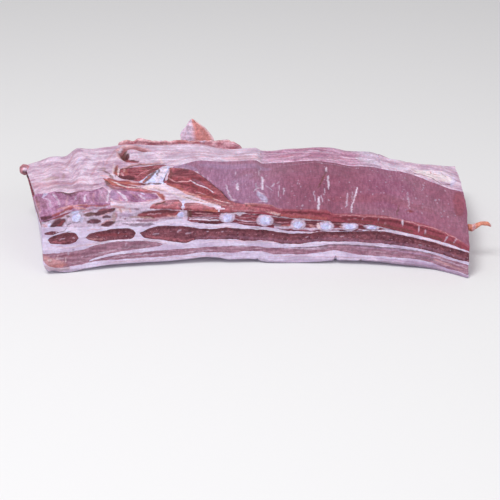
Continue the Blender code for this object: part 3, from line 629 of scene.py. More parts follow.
def brisket_roof(station):
    return np.where(station <= BRISKET_LEAN_END, BRISKET_LEAN_TOP(station), brisket_floor(station))


def brisket_thickness(station):
    return brisket_roof(station) - brisket_floor(station)


def flank_roof(station):
    return np.where(station > FLANK_LEAN_START, FLANK_LEAN_TOP(station), SKIN_FAT_TOP(station))


def flank_thickness(station):
    return flank_roof(station) - SKIN_FAT_TOP(station)


def dark_thickness(station):
    return DARK_TOP(station) - DARK_FLOOR(station)


def seam_floor(station):
    """The seam fat lies on the brisket lean, and beyond it on the flank lean."""
    share = ease((station - BRISKET_LEAN_END) / 8)
    return (1 - share) * BRISKET_TOP(station) + share * FLANK_TOP(station)


SKIN_TOP = ragged(SKIN_FAT_TOP, 101)
FLANK_TOP = ragged(flank_roof, 102, flank_thickness)
BRISKET_UNDER = ragged(brisket_floor, 103, brisket_thickness)
BRISKET_TOP = ragged(brisket_roof, 104, brisket_thickness)
DARK_UNDER = ragged(DARK_FLOOR, 105, dark_thickness, -0.7)
DARK_OVER = ragged(DARK_TOP, 106, dark_thickness, 0.7)
SEAM_TOP = ragged(UPPER_SEAM_TOP, 107)
BAND_TOP = ragged(RIB_BAND_TOP, 108)


NOTCHES = ((94.0, 5.0, 1.5), (122.0, 1.6, 1.2), (8.0, 1.6, 1.4))    # in the skin: station, height, width


def layer(name, floor, ceiling, levels, start=LEFT, end=RIGHT, proud=0.0):
    """One layer of the slab between two borders and two stations; sunk lean bites its neighbours."""
    piece = Piece(name, along_slab(start, end), LAYER_ROWS, np.linspace(0, 1, levels + 1))
    station, across = piece.u, piece.v
    share = 1 - LAYER_DROP * shoulder(station, across)
    low = under_side(station, across) if floor is None else floor(station) * share
    high = ceiling(station) * share
    if floor is None:
        at_front = np.clip(1 - across / 0.04, 0, 1)
        for middle, tall, wide in NOTCHES:
            low = low + at_front * tall * np.exp(-((station - middle) / wide) ** 2)
    if np.min(proud) < 0:
        close = np.clip(np.minimum(station - start if start > LEFT else 99,
                                   end - station if end < RIGHT else 99) / 3.0, 0, 1)
        low, high = low - BITE * close, high + BITE * close
    height = low + (high - low) * piece.w
    if floor is None:
        depth = depth_at(station)
        front, lift = round_off(across * depth, height - low, FOOT_ROUND)
        across, height = np.where(across < 0.1, front / depth, across), low + lift
    return set_on_slab(piece, station, across, height, proud)


def grain_of(piece):
    """Places along, across and up through the slab, for strands that follow it."""
    return piece.station, piece.across * depth_at(piece.station), piece.z


# ---------------------------------------------------------------- marks painted on the cut face
# Each mark is (colour, width, strength, points); points are (station, height) in mm.
SKIN_FAT_MARKS = [
    # The lilac, mauve and grey bands low on the skin fat are partly the fat's own lilac tone and partly
    # painted shade near the floor, darkest towards the right end and again at the left.
    (LILAC, 9, 0.35, (40, 5), (120, 6), (180, 5), (232, 1)),
    (MAUVE, 7, 0.3, (130, 5), (180, 4), (234, 1)),
    (TAN, 8, 0.5, (-222, 10), (-212, 7), (-198, 6)),
    # The dark line at station 94 and the brown lines at 8 and 122 are painted shade in the notches of the
    # skin; the line at 81 is a brown mark in the fat.
    (DARK, 2.2, 0.95, (94, 2), (94.2, 9.5)), (BROWN, 1.3, 0.6, (8, 3), (8, 6.5)),
    (BROWN, 1.2, 0.5, (81, 2), (81.5, 5)), (BROWN, 1.6, 0.6, (122, 4), (122, 7.5)),
    (FAT_ROSE, 1.2, 0.5, (-160, 8), (-110, 8.2), (-60, 9.6), (-20, 9.5)),
    (FAT_ROSE, 1, 0.5, (20, 8.2), (70, 9), (130, 9.4), (190, 7.4)),
    (FAT_WHITE, 2.4, 0.6, (-175, 6), (-120, 6.5), (-70, 8), (-30, 10)),
    (FAT_WHITE, 2.4, 0.6, (30, 5), (75, 7), (120, 8), (180, 6.5)),
    (GREY, 2.4, 0.35, (-215, 6), (-190, 3), (-160, 5)), (GREY, 3, 0.45, (100, 5), (150, 5.5), (228, 1)),
    (LILAC, 3, 0.45, (140, 8.4), (190, 7), (228, 3)), (GREY, 2, 0.4, (-30, 5), (0, 5.5), (40, 2)),
    (LILAC, 1, 0.5, (-40, 12.5), (-20, 12), (5, 13)),
    (FAT_WHITE, 2, 0.6, (84, 13), (94, 14), (104, 12.6)),
]
FLANK_LEAN_MARKS = [
    (GREY, 1.7, 0.75, (-60, 20.5), (-50, 22), (-20, 21.5), (-12, 23.5), (0, 21.5), (22, 21), (30, 19.5),
     (45, 18.5), (60, 18.5), (75, 20), (90, 23), (105, 23), (120, 22.5), (150, 21.5), (180, 20.5), (200, 18),
     (230, 16.5)),
    (FAT, 1.4, 0.85, (-20, 19.5), (0, 19.3)), (FAT, 1.2, 0.8, (155, 16.4), (162, 16.6)),
    (FAT, 1.1, 0.6, (-150, 13.5), (-120, 14), (-90, 15.2)), (FAT, 1, 0.6, (-70, 15.2), (-40, 16.6)),
    (FAT, 1, 0.6, (60, 15.5), (85, 18.5)), (FAT, 1, 0.5, (110, 18.4), (140, 17.2)),
    (FAT, 1.3, 0.7, (20, 19.6), (50, 17), (75, 18.4), (92, 21)),
    (LILAC, 1.6, 0.5, (112, 21), (160, 19.6), (200, 15)),
    (MAUVE, 2.2, 0.6, (-140, 14.6), (-100, 16.2), (-60, 17)), (MAUVE, 2.4, 0.55, (10, 16.5), (50, 14.6)),
    (MAUVE, 2.6, 0.55, (90, 20), (130, 18), (170, 16.5), (228, 10)), (GREY, 2, 0.45, (180, 14), (228, 8.5)),
    (FAT, 1, 0.6, (196, 15), (230, 12)), (AMBER, 2.2, 0.5, (200, 12), (230, 8)),
]
BRISKET_LEAN_MARKS = [
    (AMBER, 10, 0.65, (-223, 19), (-214, 13), (-204, 11)),
    (ORANGE, 4, 0.45, (-216, 10), (-206, 9), (-198, 10)),
    (MAUVE, 4.5, 0.5, (-190, 18), (-165, 23), (-140, 26.5), (-112, 26.5)),
    (FAT, 1.6, 0.8, (-197, 19), (-197, 25.5)), (FAT, 1.3, 0.7, (-135, 26), (-135, 30)),
    (CREAM, 2.6, 0.7, (-219, 16), (-215, 17)), (CREAM, 1.4, 0.6, (-201, 12), (-200, 18)),
    (CREAM, 1.2, 0.5, (-209, 17),
                                                                                         (-208, 21)),
    (GREY, 3.2, 0.45, (-138, 23), (-124, 24), (-110, 25)), (RED, 1.6, 0.4, (-212, 19), (-185, 20)),
    (MAUVE, 1.8, 0.5, (-180, 22), (-150, 27)), (FAT, 1, 0.5, (-185, 16), (-160, 20.5), (-130, 23.5)),
    (MAUVE, 2.4, 0.6, (-170, 26.5), (-140, 29.5), (-115, 28)),
]
SEAM_FAT_MARKS = [
    (FAT_WHITE, 3.4, 0.7, (-220, 29), (-190, 29), (-150, 32.2), (-110, 31), (-80, 24)),
    (FAT_ROSE, 1.2, 0.5, (-215, 33), (-195, 28), (-160, 31.6)), (FAT_ROSE, 1, 0.5, (-120, 33), (-90, 25.5)),
    (LILAC, 1.3, 0.5, (-70, 23), (-30, 25), (10, 24.5), (40, 21)), (LILAC, 1.2, 0.5, (60, 22), (110, 25.2),
                                                                 (160, 23.8), (220, 17.2)),
    (FAT_WHITE, 2, 0.7, (-55, 25.5), (-10, 25), (20, 24), (60, 22.4), (95, 25.4), (150, 24.6)),
    (GREY, 2, 0.5, (-192, 26.5), (-190, 26.5)), (PINK, 1, 0.5, (-40, 27.5), (0, 26), (30, 24.4)),
]
DARK_LEAN_MARKS = [
    (DARK, 3, 0.7, (-214, 40.4), (-206, 43), (-198, 43.4), (-188, 41.8)),
    (DARK, 3, 0.7, (-174, 39.5), (-157, 41.4), (-148, 43.6), (-134, 43), (-126, 40)),
    (DARK, 3.4, 0.75, (-119, 39.5), (-109, 41.6), (-100, 43.2), (-80, 43), (-60, 40), (-38, 38.2),
     (-26, 39.6),
     (-5, 37), (12, 37), (33, 33.6), (60, 32.8), (77, 34.8), (104, 35.6), (131, 37.8), (142, 37.6),
     (174, 33.4),
     (196, 30), (216, 27.6), (234, 26.8)),
    (ROSE, 2.6, 0.6, (-114, 35), (-93, 31.4), (-71, 28), (-62, 29)),
    (AMBER, 1.4, 0.5, (-176, 37), (-168, 35), (-160, 34)),
    (MAUVE, 3.4, 0.6, (-60, 30.5), (-16, 30), (0, 28.6), (16, 28.6), (38, 25), (60, 25.6), (82, 28.4),
     (104, 29),
     (153, 27.8), (185, 25), (201, 22.6), (232, 20.6)),
    (ROSE, 1.6, 0.6, (-216, 37), (-205, 35), (-190, 35.6)),
    (RED, 3, 0.6, (-166, 39), (-150, 39), (-134, 38)),
    (FAT, 0.9, 0.7, (-106, 36.5), (-100, 37)), (FAT, 1.2, 0.8, (-79, 38), (-76, 38.8)),
    (FAT, 0.8, 0.6, (-70, 36), (-63, 35.6)),
    (FAT, 1, 0.8, (-47, 36.4), (-45, 36.6)), (FAT, 1, 0.7, (-31, 36), (-29, 37)),
    (FAT, 0.8, 0.6, (-206, 38), (-200, 39)),
    (FAT, 1, 0.7, (-192, 40), (-189, 38)), (FAT, 0.8, 0.7, (-143, 41), (-142, 39)),
    (FAT, 0.8, 0.6, (60, 30), (64, 30.4)),
    (FAT, 0.8, 0.6, (98, 32), (104, 32.6)), (FAT, 0.8, 0.6, (150, 31.5), (158, 30.8)),
    (FAT, 0.8, 0.6, (184, 26.5), (192, 25.6)),
]
UPPER_SEAM_MARKS = [
    (GREY, 1.2, 0.7, (-208, 46), (-200, 48), (-196, 52), (-190, 54)),
    (GREY, 1.1, 0.6, (-204, 44), (-190, 47)),
    (LILAC, 2.6, 0.6, (-121, 47.6), (-113, 46.4), (-105, 47)),
    (GREY, 2, 0.85, (-138, 49), (-122, 47), (-105, 47)),
    (FAT_WHITE, 2.4, 0.8, (-100, 47.5), (-80, 48.5), (-60, 45)), (LILAC, 1.2, 0.5, (-95, 46), (-66, 45.5)),
    (FAT_WHITE, 1.6, 0.8, (-55, 43.3), (-30, 42.6), (0, 40.4), (40, 35.4)),
    (FAT_ROSE, 1, 0.5, (-50, 42), (-20, 42)),
    (FAT_WHITE, 2.4, 0.9, (140, 40), (150, 41), (165, 38.6), (180, 36.6), (196, 33.4), (215, 31), (235, 29)),
    (FAT_ROSE, 0.9, 0.5, (150, 39), (200, 31.5), (230, 28.8)), (FAT_WHITE, 5, 0.7, (-196, 50), (-186, 47)),
    (PINK, 1.2, 0.6, (-176, 46), (-160, 46)), (GREY, 1.4, 0.6, (0, 40.5), (12, 40)),
    (PINK, 1, 0.6, (60, 35.6), (90, 37)),
]
# Over the ribs' ends, and between them.
RIB_BAND_MARKS = [
    (PINK, 4, 0.5, (-222, 56), (-216, 50)), (BLUISH, 4, 0.8, (-216, 52), (-214, 56)),
    (DARK, 10.5, 0.95, (-212, 53), (-206, 55.5), (-200, 58.5)), (RED, 3, 0.6, (-208, 52), (-200, 58)),
    (RED, 5.5, 0.95, (-216, 61), (-208, 63), (-200, 65.5), (-193, 68)),
    (DARK, 3, 0.8, (-222, 59.5), (-213, 60.5)),
    (BROWN, 3.6, 0.8, (-196.4, 63), (-194, 62)), (BLUISH, 9, 0.95, (-187.5, 64), (-188, 68)),
    (BLUISH, 6, 0.6, (-184, 60), (-181, 56)),
    (GREY, 1.3, 0.8, (-208, 46), (-200, 48), (-196, 53), (-190, 55.6), (-184, 55)),
    (GREY, 1, 0.6, (-198, 58), (-196, 50)), (ROSE, 2.4, 0.6, (-180, 66), (-170, 67)),
    (BROWN, 4, 0.9, (-178, 62.5), (-167, 63)), (DARK, 8, 0.95, (-166, 62.5), (-157, 65), (-147, 66.6)),
    (ROSE, 2, 0.6, (-164, 66), (-150, 67.6)), (DARK, 6.5, 0.95, (-174, 55), (-163, 54.6)),
    (MAUVE, 1.2, 0.7, (-172, 56), (-170, 52)),
    (PINK, 1.2, 0.8, (-162, 59), (-152, 63)), (DARK, 3.2, 0.9, (-159, 58.3), (-151, 58.8)),
    (DARK, 6.5, 0.95, (-160, 49.6), (-148, 52.6)),
    (PINK, 1.4, 0.8, (-164, 50), (-154, 54), (-148, 57)), (TAN, 5, 0.75, (-147, 54), (-147, 62)),
    (ROSE, 2, 0.6, (-145, 64), (-144, 57)),
    (MAUVE, 3, 0.9, (-135.5, 55), (-134.5, 55)), (MAUVE, 2.4, 0.7, (-141.5, 57), (-140, 57)),
    (MAUVE, 3.4, 0.7, (-125, 65), (-121, 64.6)),
    (LILAC, 4, 0.6, (-140, 60), (-128, 58)), (CREAM, 6, 0.7, (-143, 66), (-132, 66)),
    (AMBER, 2, 0.8, (-141, 68), (-139, 62)),
    (AMBER, 1.6, 0.8, (-131, 68), (-129, 62)), (PINK, 1.6, 0.8, (-150, 69), (-146, 68)),
    (GREY, 2.2, 0.85, (-138, 49.5), (-122, 48), (-105, 47.6)),
    (RED, 9.5, 0.95, (-120, 58), (-100, 58.6), (-84, 58.6), (-78, 59)),
    (DARK, 3.6, 0.8, (-116, 61), (-98, 61), (-80, 60.4)),
    (DARK, 3, 0.8, (-118, 56), (-104, 55)), (TAN, 2, 0.9, (-130, 56.4), (-116, 56), (-104, 54)),
    (FAT_ROSE, 1.1, 0.9, (-112, 59),
                                                                                              (-96, 58.6)),
    (MAUVE, 4, 0.8, (-122, 52), (-110, 51), (-100, 51.6)),
    (FAT_ROSE, 1, 0.9, (-118, 54), (-104, 53), (-90, 54)),
    (FAT_WHITE, 3.4, 0.85, (-122, 66), (-95, 64)),
    (FAT_WHITE, 1.4, 0.8, (-140, 51.6), (-110, 49.6), (-90, 50)),
    (AMBER, 2, 0.7, (-90, 56), (-80, 55)), (MAUVE, 2, 0.6, (-94, 53), (-82, 53)),
    (BROWN, 6, 0.8, (-67, 62), (-65, 54)), (FAT, 1.2, 0.9, (-66, 52.6), (-33, 52)),
    (FAT_WHITE, 1.8, 0.95, (-66, 50.6), (-50, 50), (-34, 49)),
    (DARK, 4.4, 0.95, (-60, 46.2), (-45, 46.4), (-30, 46)), (FAT_ROSE, 0.9, 0.8, (-64, 55), (-36, 54)),
    (PINK, 0.9, 0.7, (-60, 57.6), (-40, 56.6)), (MAUVE, 1.4, 0.6, (-62, 54), (-40, 53)),
    (FAT_WHITE, 6.4, 0.95, (-15, 57), (-8, 56.2)), (FAT, 1.1, 0.8, (-18, 50), (-5, 47.5), (8, 46)),
    (FAT_ROSE, 1, 0.8, (-16, 46.5), (6, 44)), (FAT_ROSE, 0.9, 0.7, (-15, 52.5), (6, 50)),
    (FAT_WHITE, 2.2, 0.95, (-40, 60), (-28, 58.6), (-20, 57), (0, 55.4), (10, 56), (30, 52.6), (50, 50.6),
     (70, 49), (88, 48.2)),
    (PINK, 1.2, 0.7, (-18, 44.6), (-8, 43.4)), (FAT, 4.2, 0.95, (27, 41), (46, 40.5)),
    (ORANGE, 1.4, 0.8, (30, 42.8), (44, 42.2)),
    (GREY, 3.2, 0.65, (25, 44), (33, 43.4)), (BLOOD, 2.6, 0.7, (27, 48.6), (43, 47.6)),
    (FAT_ROSE, 0.9, 0.8, (26, 46.8), (42, 45)), (FAT, 3, 0.9, (58, 39), (76, 39)),
    (BLOOD, 3, 0.7, (61, 46.6), (76, 45.6)), (FAT_ROSE, 0.9, 0.8, (60, 43.6), (75, 43)),
    (CREAM, 5, 0.85, (75.5, 40), (74.6, 44.6)), (AMBER, 3, 0.7, (70, 40.6), (66, 44)),
    (BLOOD, 2.8, 0.7, (92, 45), (101, 44.6)),
    (FAT, 2, 0.9, (90, 39.4), (102, 39.6)), (FAT_ROSE, 1.3, 0.9, (118, 46), (124, 44.6)),
    (AMBER, 2.4, 0.7, (98, 43), (101, 40.6)),
    (BLOOD, 2.4, 0.6, (118, 42.6), (127, 42.6)), (FAT, 1.4, 0.9, (118, 40), (140, 41.2)),
    (FAT_WHITE, 2.4, 0.9, (139, 44), (156, 41.6)),
]
HALO_LEFT, HALO_UP = 2.2, 1.4       # how far the fat reaches round a rib's end
HALO_START = -66.0                  # left of this the whole band is fat with streaks of lean
MEAT_SINK = 0.9                     # the meat between the ribs lies this much deeper than the fat
RIB_PROUD = 0.6

# ---------------------------------------------------------------- marks on the upper side, points (x, y)
COVER_FAT_MARKS = [
    (MAUVE, 7, 0.55, (-228, 41), (-205, 42), (-184, 38), (-168, 42)),
    (FAT_ROSE, 3, 0.7, (-230, 48), (-205, 50), (-180, 48)),
    (TAN, 9, 0.6, (-231, 62), (-216, 62)), (ROSE, 11, 0.35, (-244, 54), (-230, 50), (-216, 53)),
    (TAN, 5, 0.5, (-231, 95), (-229, 96)), (TAN, 3, 0.6, (-210, 60), (-210, 75)),
    (BLUISH, 4, 0.5, (-197, 90), (-196, 105)), (FAT_ROSE, 3, 0.6, (-165, 85), (-162, 110), (-156, 135)),
    (FAT_ROSE, 2.4, 0.55, (-178, 60), (-172, 100)),
    (FAT_WHITE, 6, 0.7, (-190, 60), (-183, 90), (-178, 125)),
    (FAT_ROSE, 3, 0.45, (-215, 80), (-205, 120)), (FAT_WHITE, 8, 0.6, (-235, 110), (-220, 125)),
    (FAT_ROSE, 2, 0.6, (-240, 75), (-215, 100), (-200, 125)),
    (PINK, 2, 0.5, (-226, 44), (-205, 52), (-186, 44)),
    (LILAC, 2.4, 0.5, (-200, 62), (-192, 84), (-188, 110)),
    (LILAC, 2, 0.4, (-172, 60), (-168, 80), (-166, 120)),
    (FAT_WHITE, 9, 0.6, (-118, 105), (-95, 112), (-70, 120)),
    (FAT_WHITE, 7, 0.6, (-110, 142), (-60, 148)),
    (FAT_ROSE, 2.2, 0.6, (-105, 130), (-70, 135), (-30, 138)),
    (FAT_ROSE, 2, 0.6, (-90, 155), (-40, 158), (0, 150)),
    (FAT_ROSE, 2.4, 0.6, (-95, 105), (-70, 118), (-40, 128)), (LILAC, 3, 0.45, (-60, 165), (-10, 162)),
    (PINK, 12, 0.45, (-30, 128), (14, 130)), (ROSE, 3, 0.4, (-20, 140), (14, 142)),
    (FAT_WHITE, 6, 0.9, (-141, 108), (-124, 118), (-108, 127)),
    (FAT_WHITE, 6, 0.7, (-128, 110), (-112, 116)),
    # round the small muscles
    (BROWN, 2.2, 0.85, (-172, 72), (-164, 72), (-159, 67), (-156, 62)),
    (BROWN, 5, 0.7, (-157, 62), (-153, 57)),
    (TAN, 3.5, 0.7, (-170, 78), (-166, 80), (-164, 73)),
    (CREAM, 3, 0.8, (-155, 88), (-154.5, 74), (-154, 66)),
    (ORANGE, 5, 0.9, (-151, 85), (-151, 76), (-152, 66)),
    (BROWN, 2.4, 0.7, (-152, 82), (-151, 70), (-151, 60)),
    (CREAM, 2.4, 0.95, (-148.5, 79), (-148.5, 66)), (BROWN, 3.5, 0.7, (-146, 76), (-145, 66)),
    (AMBER, 4, 0.7, (-144, 80), (-136, 87), (-124, 92), (-110, 99), (-100, 102)),
    # Painted shadow: the brown line along the cover fat just beyond the upper edge of the first neck muscle.
    (BROWN, 3, 0.7, (-144, 74), (-137, 84), (-124, 90.5), (-110, 97), (-99, 99)),
    (GREY, 2.4, 0.6, (-100, 98), (-96, 100)),
    (CREAM, 4, 0.7, (-103, 112), (-101, 100)), (CREAM, 4, 0.6, (-90, 98), (-82, 101)),
    (RED, 8, 0.95, (-158, 55), (-148, 50), (-138, 48), (-127, 48), (-119, 49)),
    (ORANGE, 5, 0.8, (-156, 53), (-146, 48), (-134, 46.5), (-122, 46)),
    (RED, 1.4, 0.7, (-150, 52), (-136, 49.5), (-122, 49)),
    (PINK, 3, 0.9, (-167, 61), (-162, 61), (-158, 58)),
    (PINK, 3, 0.8, (-139, 53), (-132, 51), (-125, 51)),
    (BROWN, 6, 0.8, (-160, 48), (-156, 41), (-150, 36)),
    (ROSE, 4, 0.8, (-156, 40), (-144, 35), (-130, 34), (-108, 34)),
    (MAUVE, 5, 0.8, (-152, 34), (-138, 34), (-124, 33), (-106, 33)),
    (LILAC, 3, 0.7, (-160, 40), (-156, 34)),
    (CREAM, 9, 0.95, (-116, 43), (-108, 47), (-98, 47), (-90, 43), (-84, 38)),
    (FAT_WHITE, 5, 0.95, (-104, 49), (-95, 47), (-87, 41), (-80, 35)),
    (TAN, 2.2, 0.9, (-107, 44), (-101, 42), (-96, 40)),
    (CREAM, 8, 0.95, (-84, 36), (-72, 30), (-60, 26), (-50, 23), (-40, 19)),
    (FAT_WHITE, 4, 0.9, (-84, 34), (-72, 27), (-60, 24), (-46, 20)),
    (BROWN, 1.3, 0.8, (-73, 32), (-65, 28.5), (-54, 26)), (ROSE, 1.6, 0.7, (-54, 26), (-44, 23), (-36, 19)),
    (ORANGE, 7, 0.95, (-101, 34), (-97, 30), (-95, 23)), (RED, 3, 0.8, (-96, 30), (-95, 24)),
    (PINK, 3, 0.85, (-108, 6), (-100, 16), (-93, 21)), (BLUISH, 3.6, 0.9, (-73, 26), (-72, 12), (-71.5, 0)),
    (FAT_WHITE, 3, 0.9, (-60, 24.5), (-45, 20), (-33, 13)),
    (FAT_WHITE, 4, 0.9, (-114, 4), (-104, 14), (-97, 21)),
    (BROWN, 1.6, 0.9, (-122, 48), (-112, 50.5), (-100, 52.5)), (DARK, 3.5, 0.9, (-120, 48), (-117, 48)),
    (PINK, 4, 0.7, (-152, 7), (-146, 1)), (PINK, 2.4, 0.6, (-143, 8), (-136, 2)),
    (PINK, 2, 0.6, (-132, 8), (-130, -4)),
    (AMBER, 6, 0.5, (-158, 4), (-148, -3)), (FAT_WHITE, 5, 0.7, (-128, 4), (-112, 5)),
]
# The slit that curls round a fold of fat, brown-red and deepest at its left.
SLIT = [(-107, 128), (-115, 131), (-124, 132), (-135, 135), (-145, 133), (-150, 126), (-148, 115),
        (-145, 105),
        (-141, 98), (-136, 97), (-129, 99)]
SLIT_MARKS = [
    (AMBER, 10, 0.6, (-118, 133), (-135, 137), (-147, 135), (-153, 127), (-151, 114), (-149, 104)),
    (RED, 6.5, 0.7, (-108, 128), (-124, 133), (-135, 136), (-145, 133), (-150, 126), (-149, 115),
     (-146, 104)),
    (BROWN, 4, 0.9, (-107, 128), (-124, 131), (-136, 133), (-145, 130), (-148, 120), (-146, 108)),
    (BROWN, 6, 0.95, (-145, 128), (-146, 116), (-143, 106)),
    (RED, 6, 0.95, (-145, 106), (-140, 98), (-129, 99)),
    (BLOOD, 6, 0.95, (-142, 112), (-141, 103)), (ROSE, 4, 0.8, (-138, 98), (-128, 100)),
    (PINK, 2, 0.8, (-118, 136), (-132, 140), (-142, 139)),
    (DARK, 2, 0.85, (-132, 132), (-120, 130), (-106, 126), (-100, 124)),
    (BLOOD, 3, 0.8, (-137, 100), (-128, 101)), (FAT_WHITE, 2, 0.8, (-150, 132), (-154, 122)),
]
FOLD = [(-138, 112), (-128, 118), (-112, 125)]
FORE_MARKS = [
    (ROSE, 10, 0.8, (-242, 30), (-237, 14), (-231, -3)),
    (PINK, 2.4, 0.8, (-240, 20), (-234, 4), (-230, -4)),
    (BROWN, 3, 0.7, (-234, 26), (-230, 10), (-226, -2)), (BLOOD, 8, 0.6, (-204, 28), (-190, 22)),
    (BROWN, 5, 0.6, (-212, 29), (-190, 27), (-176, 28)), (BLUISH, 5, 0.6, (-227, 26), (-224, 36)),
    (MAUVE, 7, 0.6, (-232, 26), (-224, 12), (-220, 0)), (PURPLE, 9, 0.5, (-200, 22), (-196, 8)),
    (FAT, 2, 0.85, (-214, 0), (-218, 15), (-226, 24)), (FAT, 1.8, 0.8, (-205, -2), (-209, 14), (-216, 28)),
    (FAT_WHITE, 2, 0.8, (-179, 20), (-179, 4)), (FAT_WHITE, 2.6, 0.9, (-155, 32), (-154.5, 18), (-154, 2)),
    (FAT, 1.8, 0.7, (-190, 18), (-190, 10)), (FAT_ROSE, 3, 0.6, (-199, 20), (-197, -2)),
    (FAT_ROSE, 2, 0.6, (-171, 26), (-169, 2)), (FAT, 1.2, 0.6, (-163, 30), (-162, 4)),
    (BROWN, 2, 0.5, (-185, 20), (-184, 0)), (MAUVE, 2.4, 0.6, (-174, 24), (-173, 2)),
    (FAT_ROSE, 6, 0.5, (-232, 14), (-226, -4)), (PURPLE, 3, 0.6, (-167, 28), (-165, 0)),
    (AMBER, 5, 0.6, (-206, -6), (-190, -4), (-170, -3), (-156, -2)),
    (GREY, 3, 0.5, (-168, 34), (-160, 34)),
]
FORE_FACE_MARKS = [
    (DARK, 5, 0.9, (-223, 62.5), (-213, 63)), (RED, 4, 0.9, (-212, 64.5), (-201, 67), (-190, 71)),
    (ORANGE, 1.6, 0.8, (-212, 66), (-201, 69), (-190, 72.4)), (AMBER, 2.6, 0.9, (-188, 71), (-175, 68.6)),
    (ORANGE, 1.5, 0.8, (-186, 73), (-160, 71), (-151, 72)), (FAT, 2.2, 0.7, (-205, 66), (-192, 68.6)),
    (FAT, 2, 0.8, (-176, 70), (-160, 69), (-151, 70)),
]
SHEET_MARKS = [
    (FAT_WHITE, 2.8, 0.9, (-14, 63), (-14, 47)), (FAT, 2, 0.85, (-27, 60), (-25, 45), (-20, 28), (-14, 24)),
    (FAT, 1.4, 0.7, (-16, 90), (-17, 80)), (FAT_WHITE, 3, 0.9, (14, 82), (14, 66), (14, 50)),
    (FAT, 1.8, 0.8, (6, 62), (8, 50)), (FAT, 1.8, 0.8, (4, 42), (8, 50), (14, 55)),
    (FAT, 1.6, 0.8, (18, 62), (24, 52)),
    (FAT, 1.4, 0.7, (12, 104), (10, 80)), (BLUISH, 9, 0.55, (9, 40), (14, 32), (17, 22)),
    (PURPLE, 1.4, 0.7, (8, 34), (16, 30)),
    (PURPLE, 1.2, 0.7, (9, 26), (17, 24)), (FAT_WHITE, 1.6, 0.8, (7, 44), (15, 40)),
    (FAT_WHITE, 1.6, 0.8, (10, 20), (20, 22)),
    (FAT, 1.5, 0.8, (28, 70), (24, 60)), (FAT, 1.6, 0.8, (38, 60), (38, 45)),
    (FAT, 1.2, 0.7, (33, 66), (31, 40)),
    (FAT, 2, 0.7, (31, 70), (31.5, 70)), (FAT, 1.8, 0.7, (47, 63), (47.5, 63)),
    (FAT, 1.8, 0.7, (49, 44), (49.5, 44)),
    (FAT, 1.4, 0.7, (71, 50), (72, 32)), (FAT_WHITE, 2.6, 0.95, (76, 40), (75, 20), (73, 8)),
    (FAT, 1.4, 0.8, (80, 46), (79, 26)),
    (FAT_WHITE, 2, 0.85, (88, 104), (88, 92)), (BROWN, 2.2, 0.9, (87, 92), (84, 80), (80, 68), (76, 58)),
    (FAT_WHITE, 2.2, 0.9, (89, 84), (88, 58)), (FAT, 1.2, 0.8, (84, 62), (83, 44)),
    (FAT, 1.6, 0.8, (109, 52), (106, 25)),
    (FAT_WHITE, 1.8, 0.9, (121, 66), (118, 50), (112, 28), (111, 13)), (FAT, 1, 0.7, (116, 56), (112, 36)),
    (FAT, 1.2, 0.5, (200, 86), (195, 70)), (FAT, 1.6, 0.7, (178, 64), (176, 30)),
    (FAT, 1.2, 0.5, (164, 100), (160, 95)),
    (BROWN, 1.8, 0.7, (165, 35), (160, 12)), (BLOOD, 4.6, 0.9, (176, 24), (177.5, 24.4)),
    (RED, 7, 0.5, (174, 24), (179, 24)),
    (FAT, 1.8, 0.7, (222, 48), (222.5, 48)), (FAT, 1.8, 0.7, (231, 17), (231.4, 17)),
    (FAT, 1.8, 0.6, (218, 5), (218.5, 5)),
    (RED, 14, 0.5, (238, 74), (235, 50), (232, 30)), (LILAC, 9, 0.6, (-88, 92), (-75, 93), (-62, 86)),
    (LILAC, 14, 0.40, (-55, 98), (-20, 104), (20, 103)), (LILAC, 14, 0.25, (-20, 60), (0, 80)),
    (BLUISH, 7, 0.6, (-90, 96), (-80, 97)), (FAT_WHITE, 4, 0.95, (-66, 82), (-60, 81)),
    (FAT, 2, 0.8, (-60, 81), (-54, 75),
                                                                                        (-46, 63)),
    (GREY, 2, 0.5, (-82, 90), (-74, 92)), (MAUVE, 16, 0.25, (40, 90), (110, 92)),
    (RED, 16, 0.22, (90, 40), (150, 45), (200, 30)),
    (FAT, 1, 0.5, (30, 112), (70, 116), (120, 112)), (MAUVE, 1.4, 0.5, (20, 98), (80, 104), (150, 98)),
]
STRIP_MARKS = [
    (ORANGE, 2.6, 0.6, (34, 54.6), (50, 53), (66, 52), (86, 51.6)),
    (BLOOD, 2.6, 0.55, (34, 58), (60, 57.4), (88, 56)),
    (ROSE, 2.2, 0.5, (40, 56), (70, 54.6)),
    (BLOOD, 3, 0.6, (92, 53), (120, 52.6), (150, 52), (180, 47), (210, 41)),
    (BROWN, 1.6, 0.7, (92, 49), (130, 48.4), (155, 45), (190, 38), (232, 32.4)),
    (FAT, 1.4, 0.75, (123, 50), (123, 54)), (FAT_WHITE, 1.9, 0.9, (165, 47), (165, 54.6)),
    (FAT, 1.3, 0.75, (184, 43), (184, 49)), (FAT, 3, 0.75, (190, 41), (190.6, 43.5)),
    (FAT, 1.4, 0.7, (197, 41), (197.6, 41)),
    (FAT, 1.2, 0.7, (211, 36), (214, 42)), (FAT, 1.2, 0.7, (219, 35), (222, 40.6)),
    (FAT, 1, 0.5, (140, 50), (140, 54)),
    (FAT_ROSE, 1, 0.5, (104, 51), (116, 52)), (FAT_ROSE, 1, 0.5, (146, 49), (158, 48)),
    # Painted highlight: the thin pink line along the top of the cut strip, just under the lip.
    (PINK, 0.9, 0.6, (96, 55.6), (150, 55.4), (170, 51.8), (205, 45.6), (230, 37.8)),
]
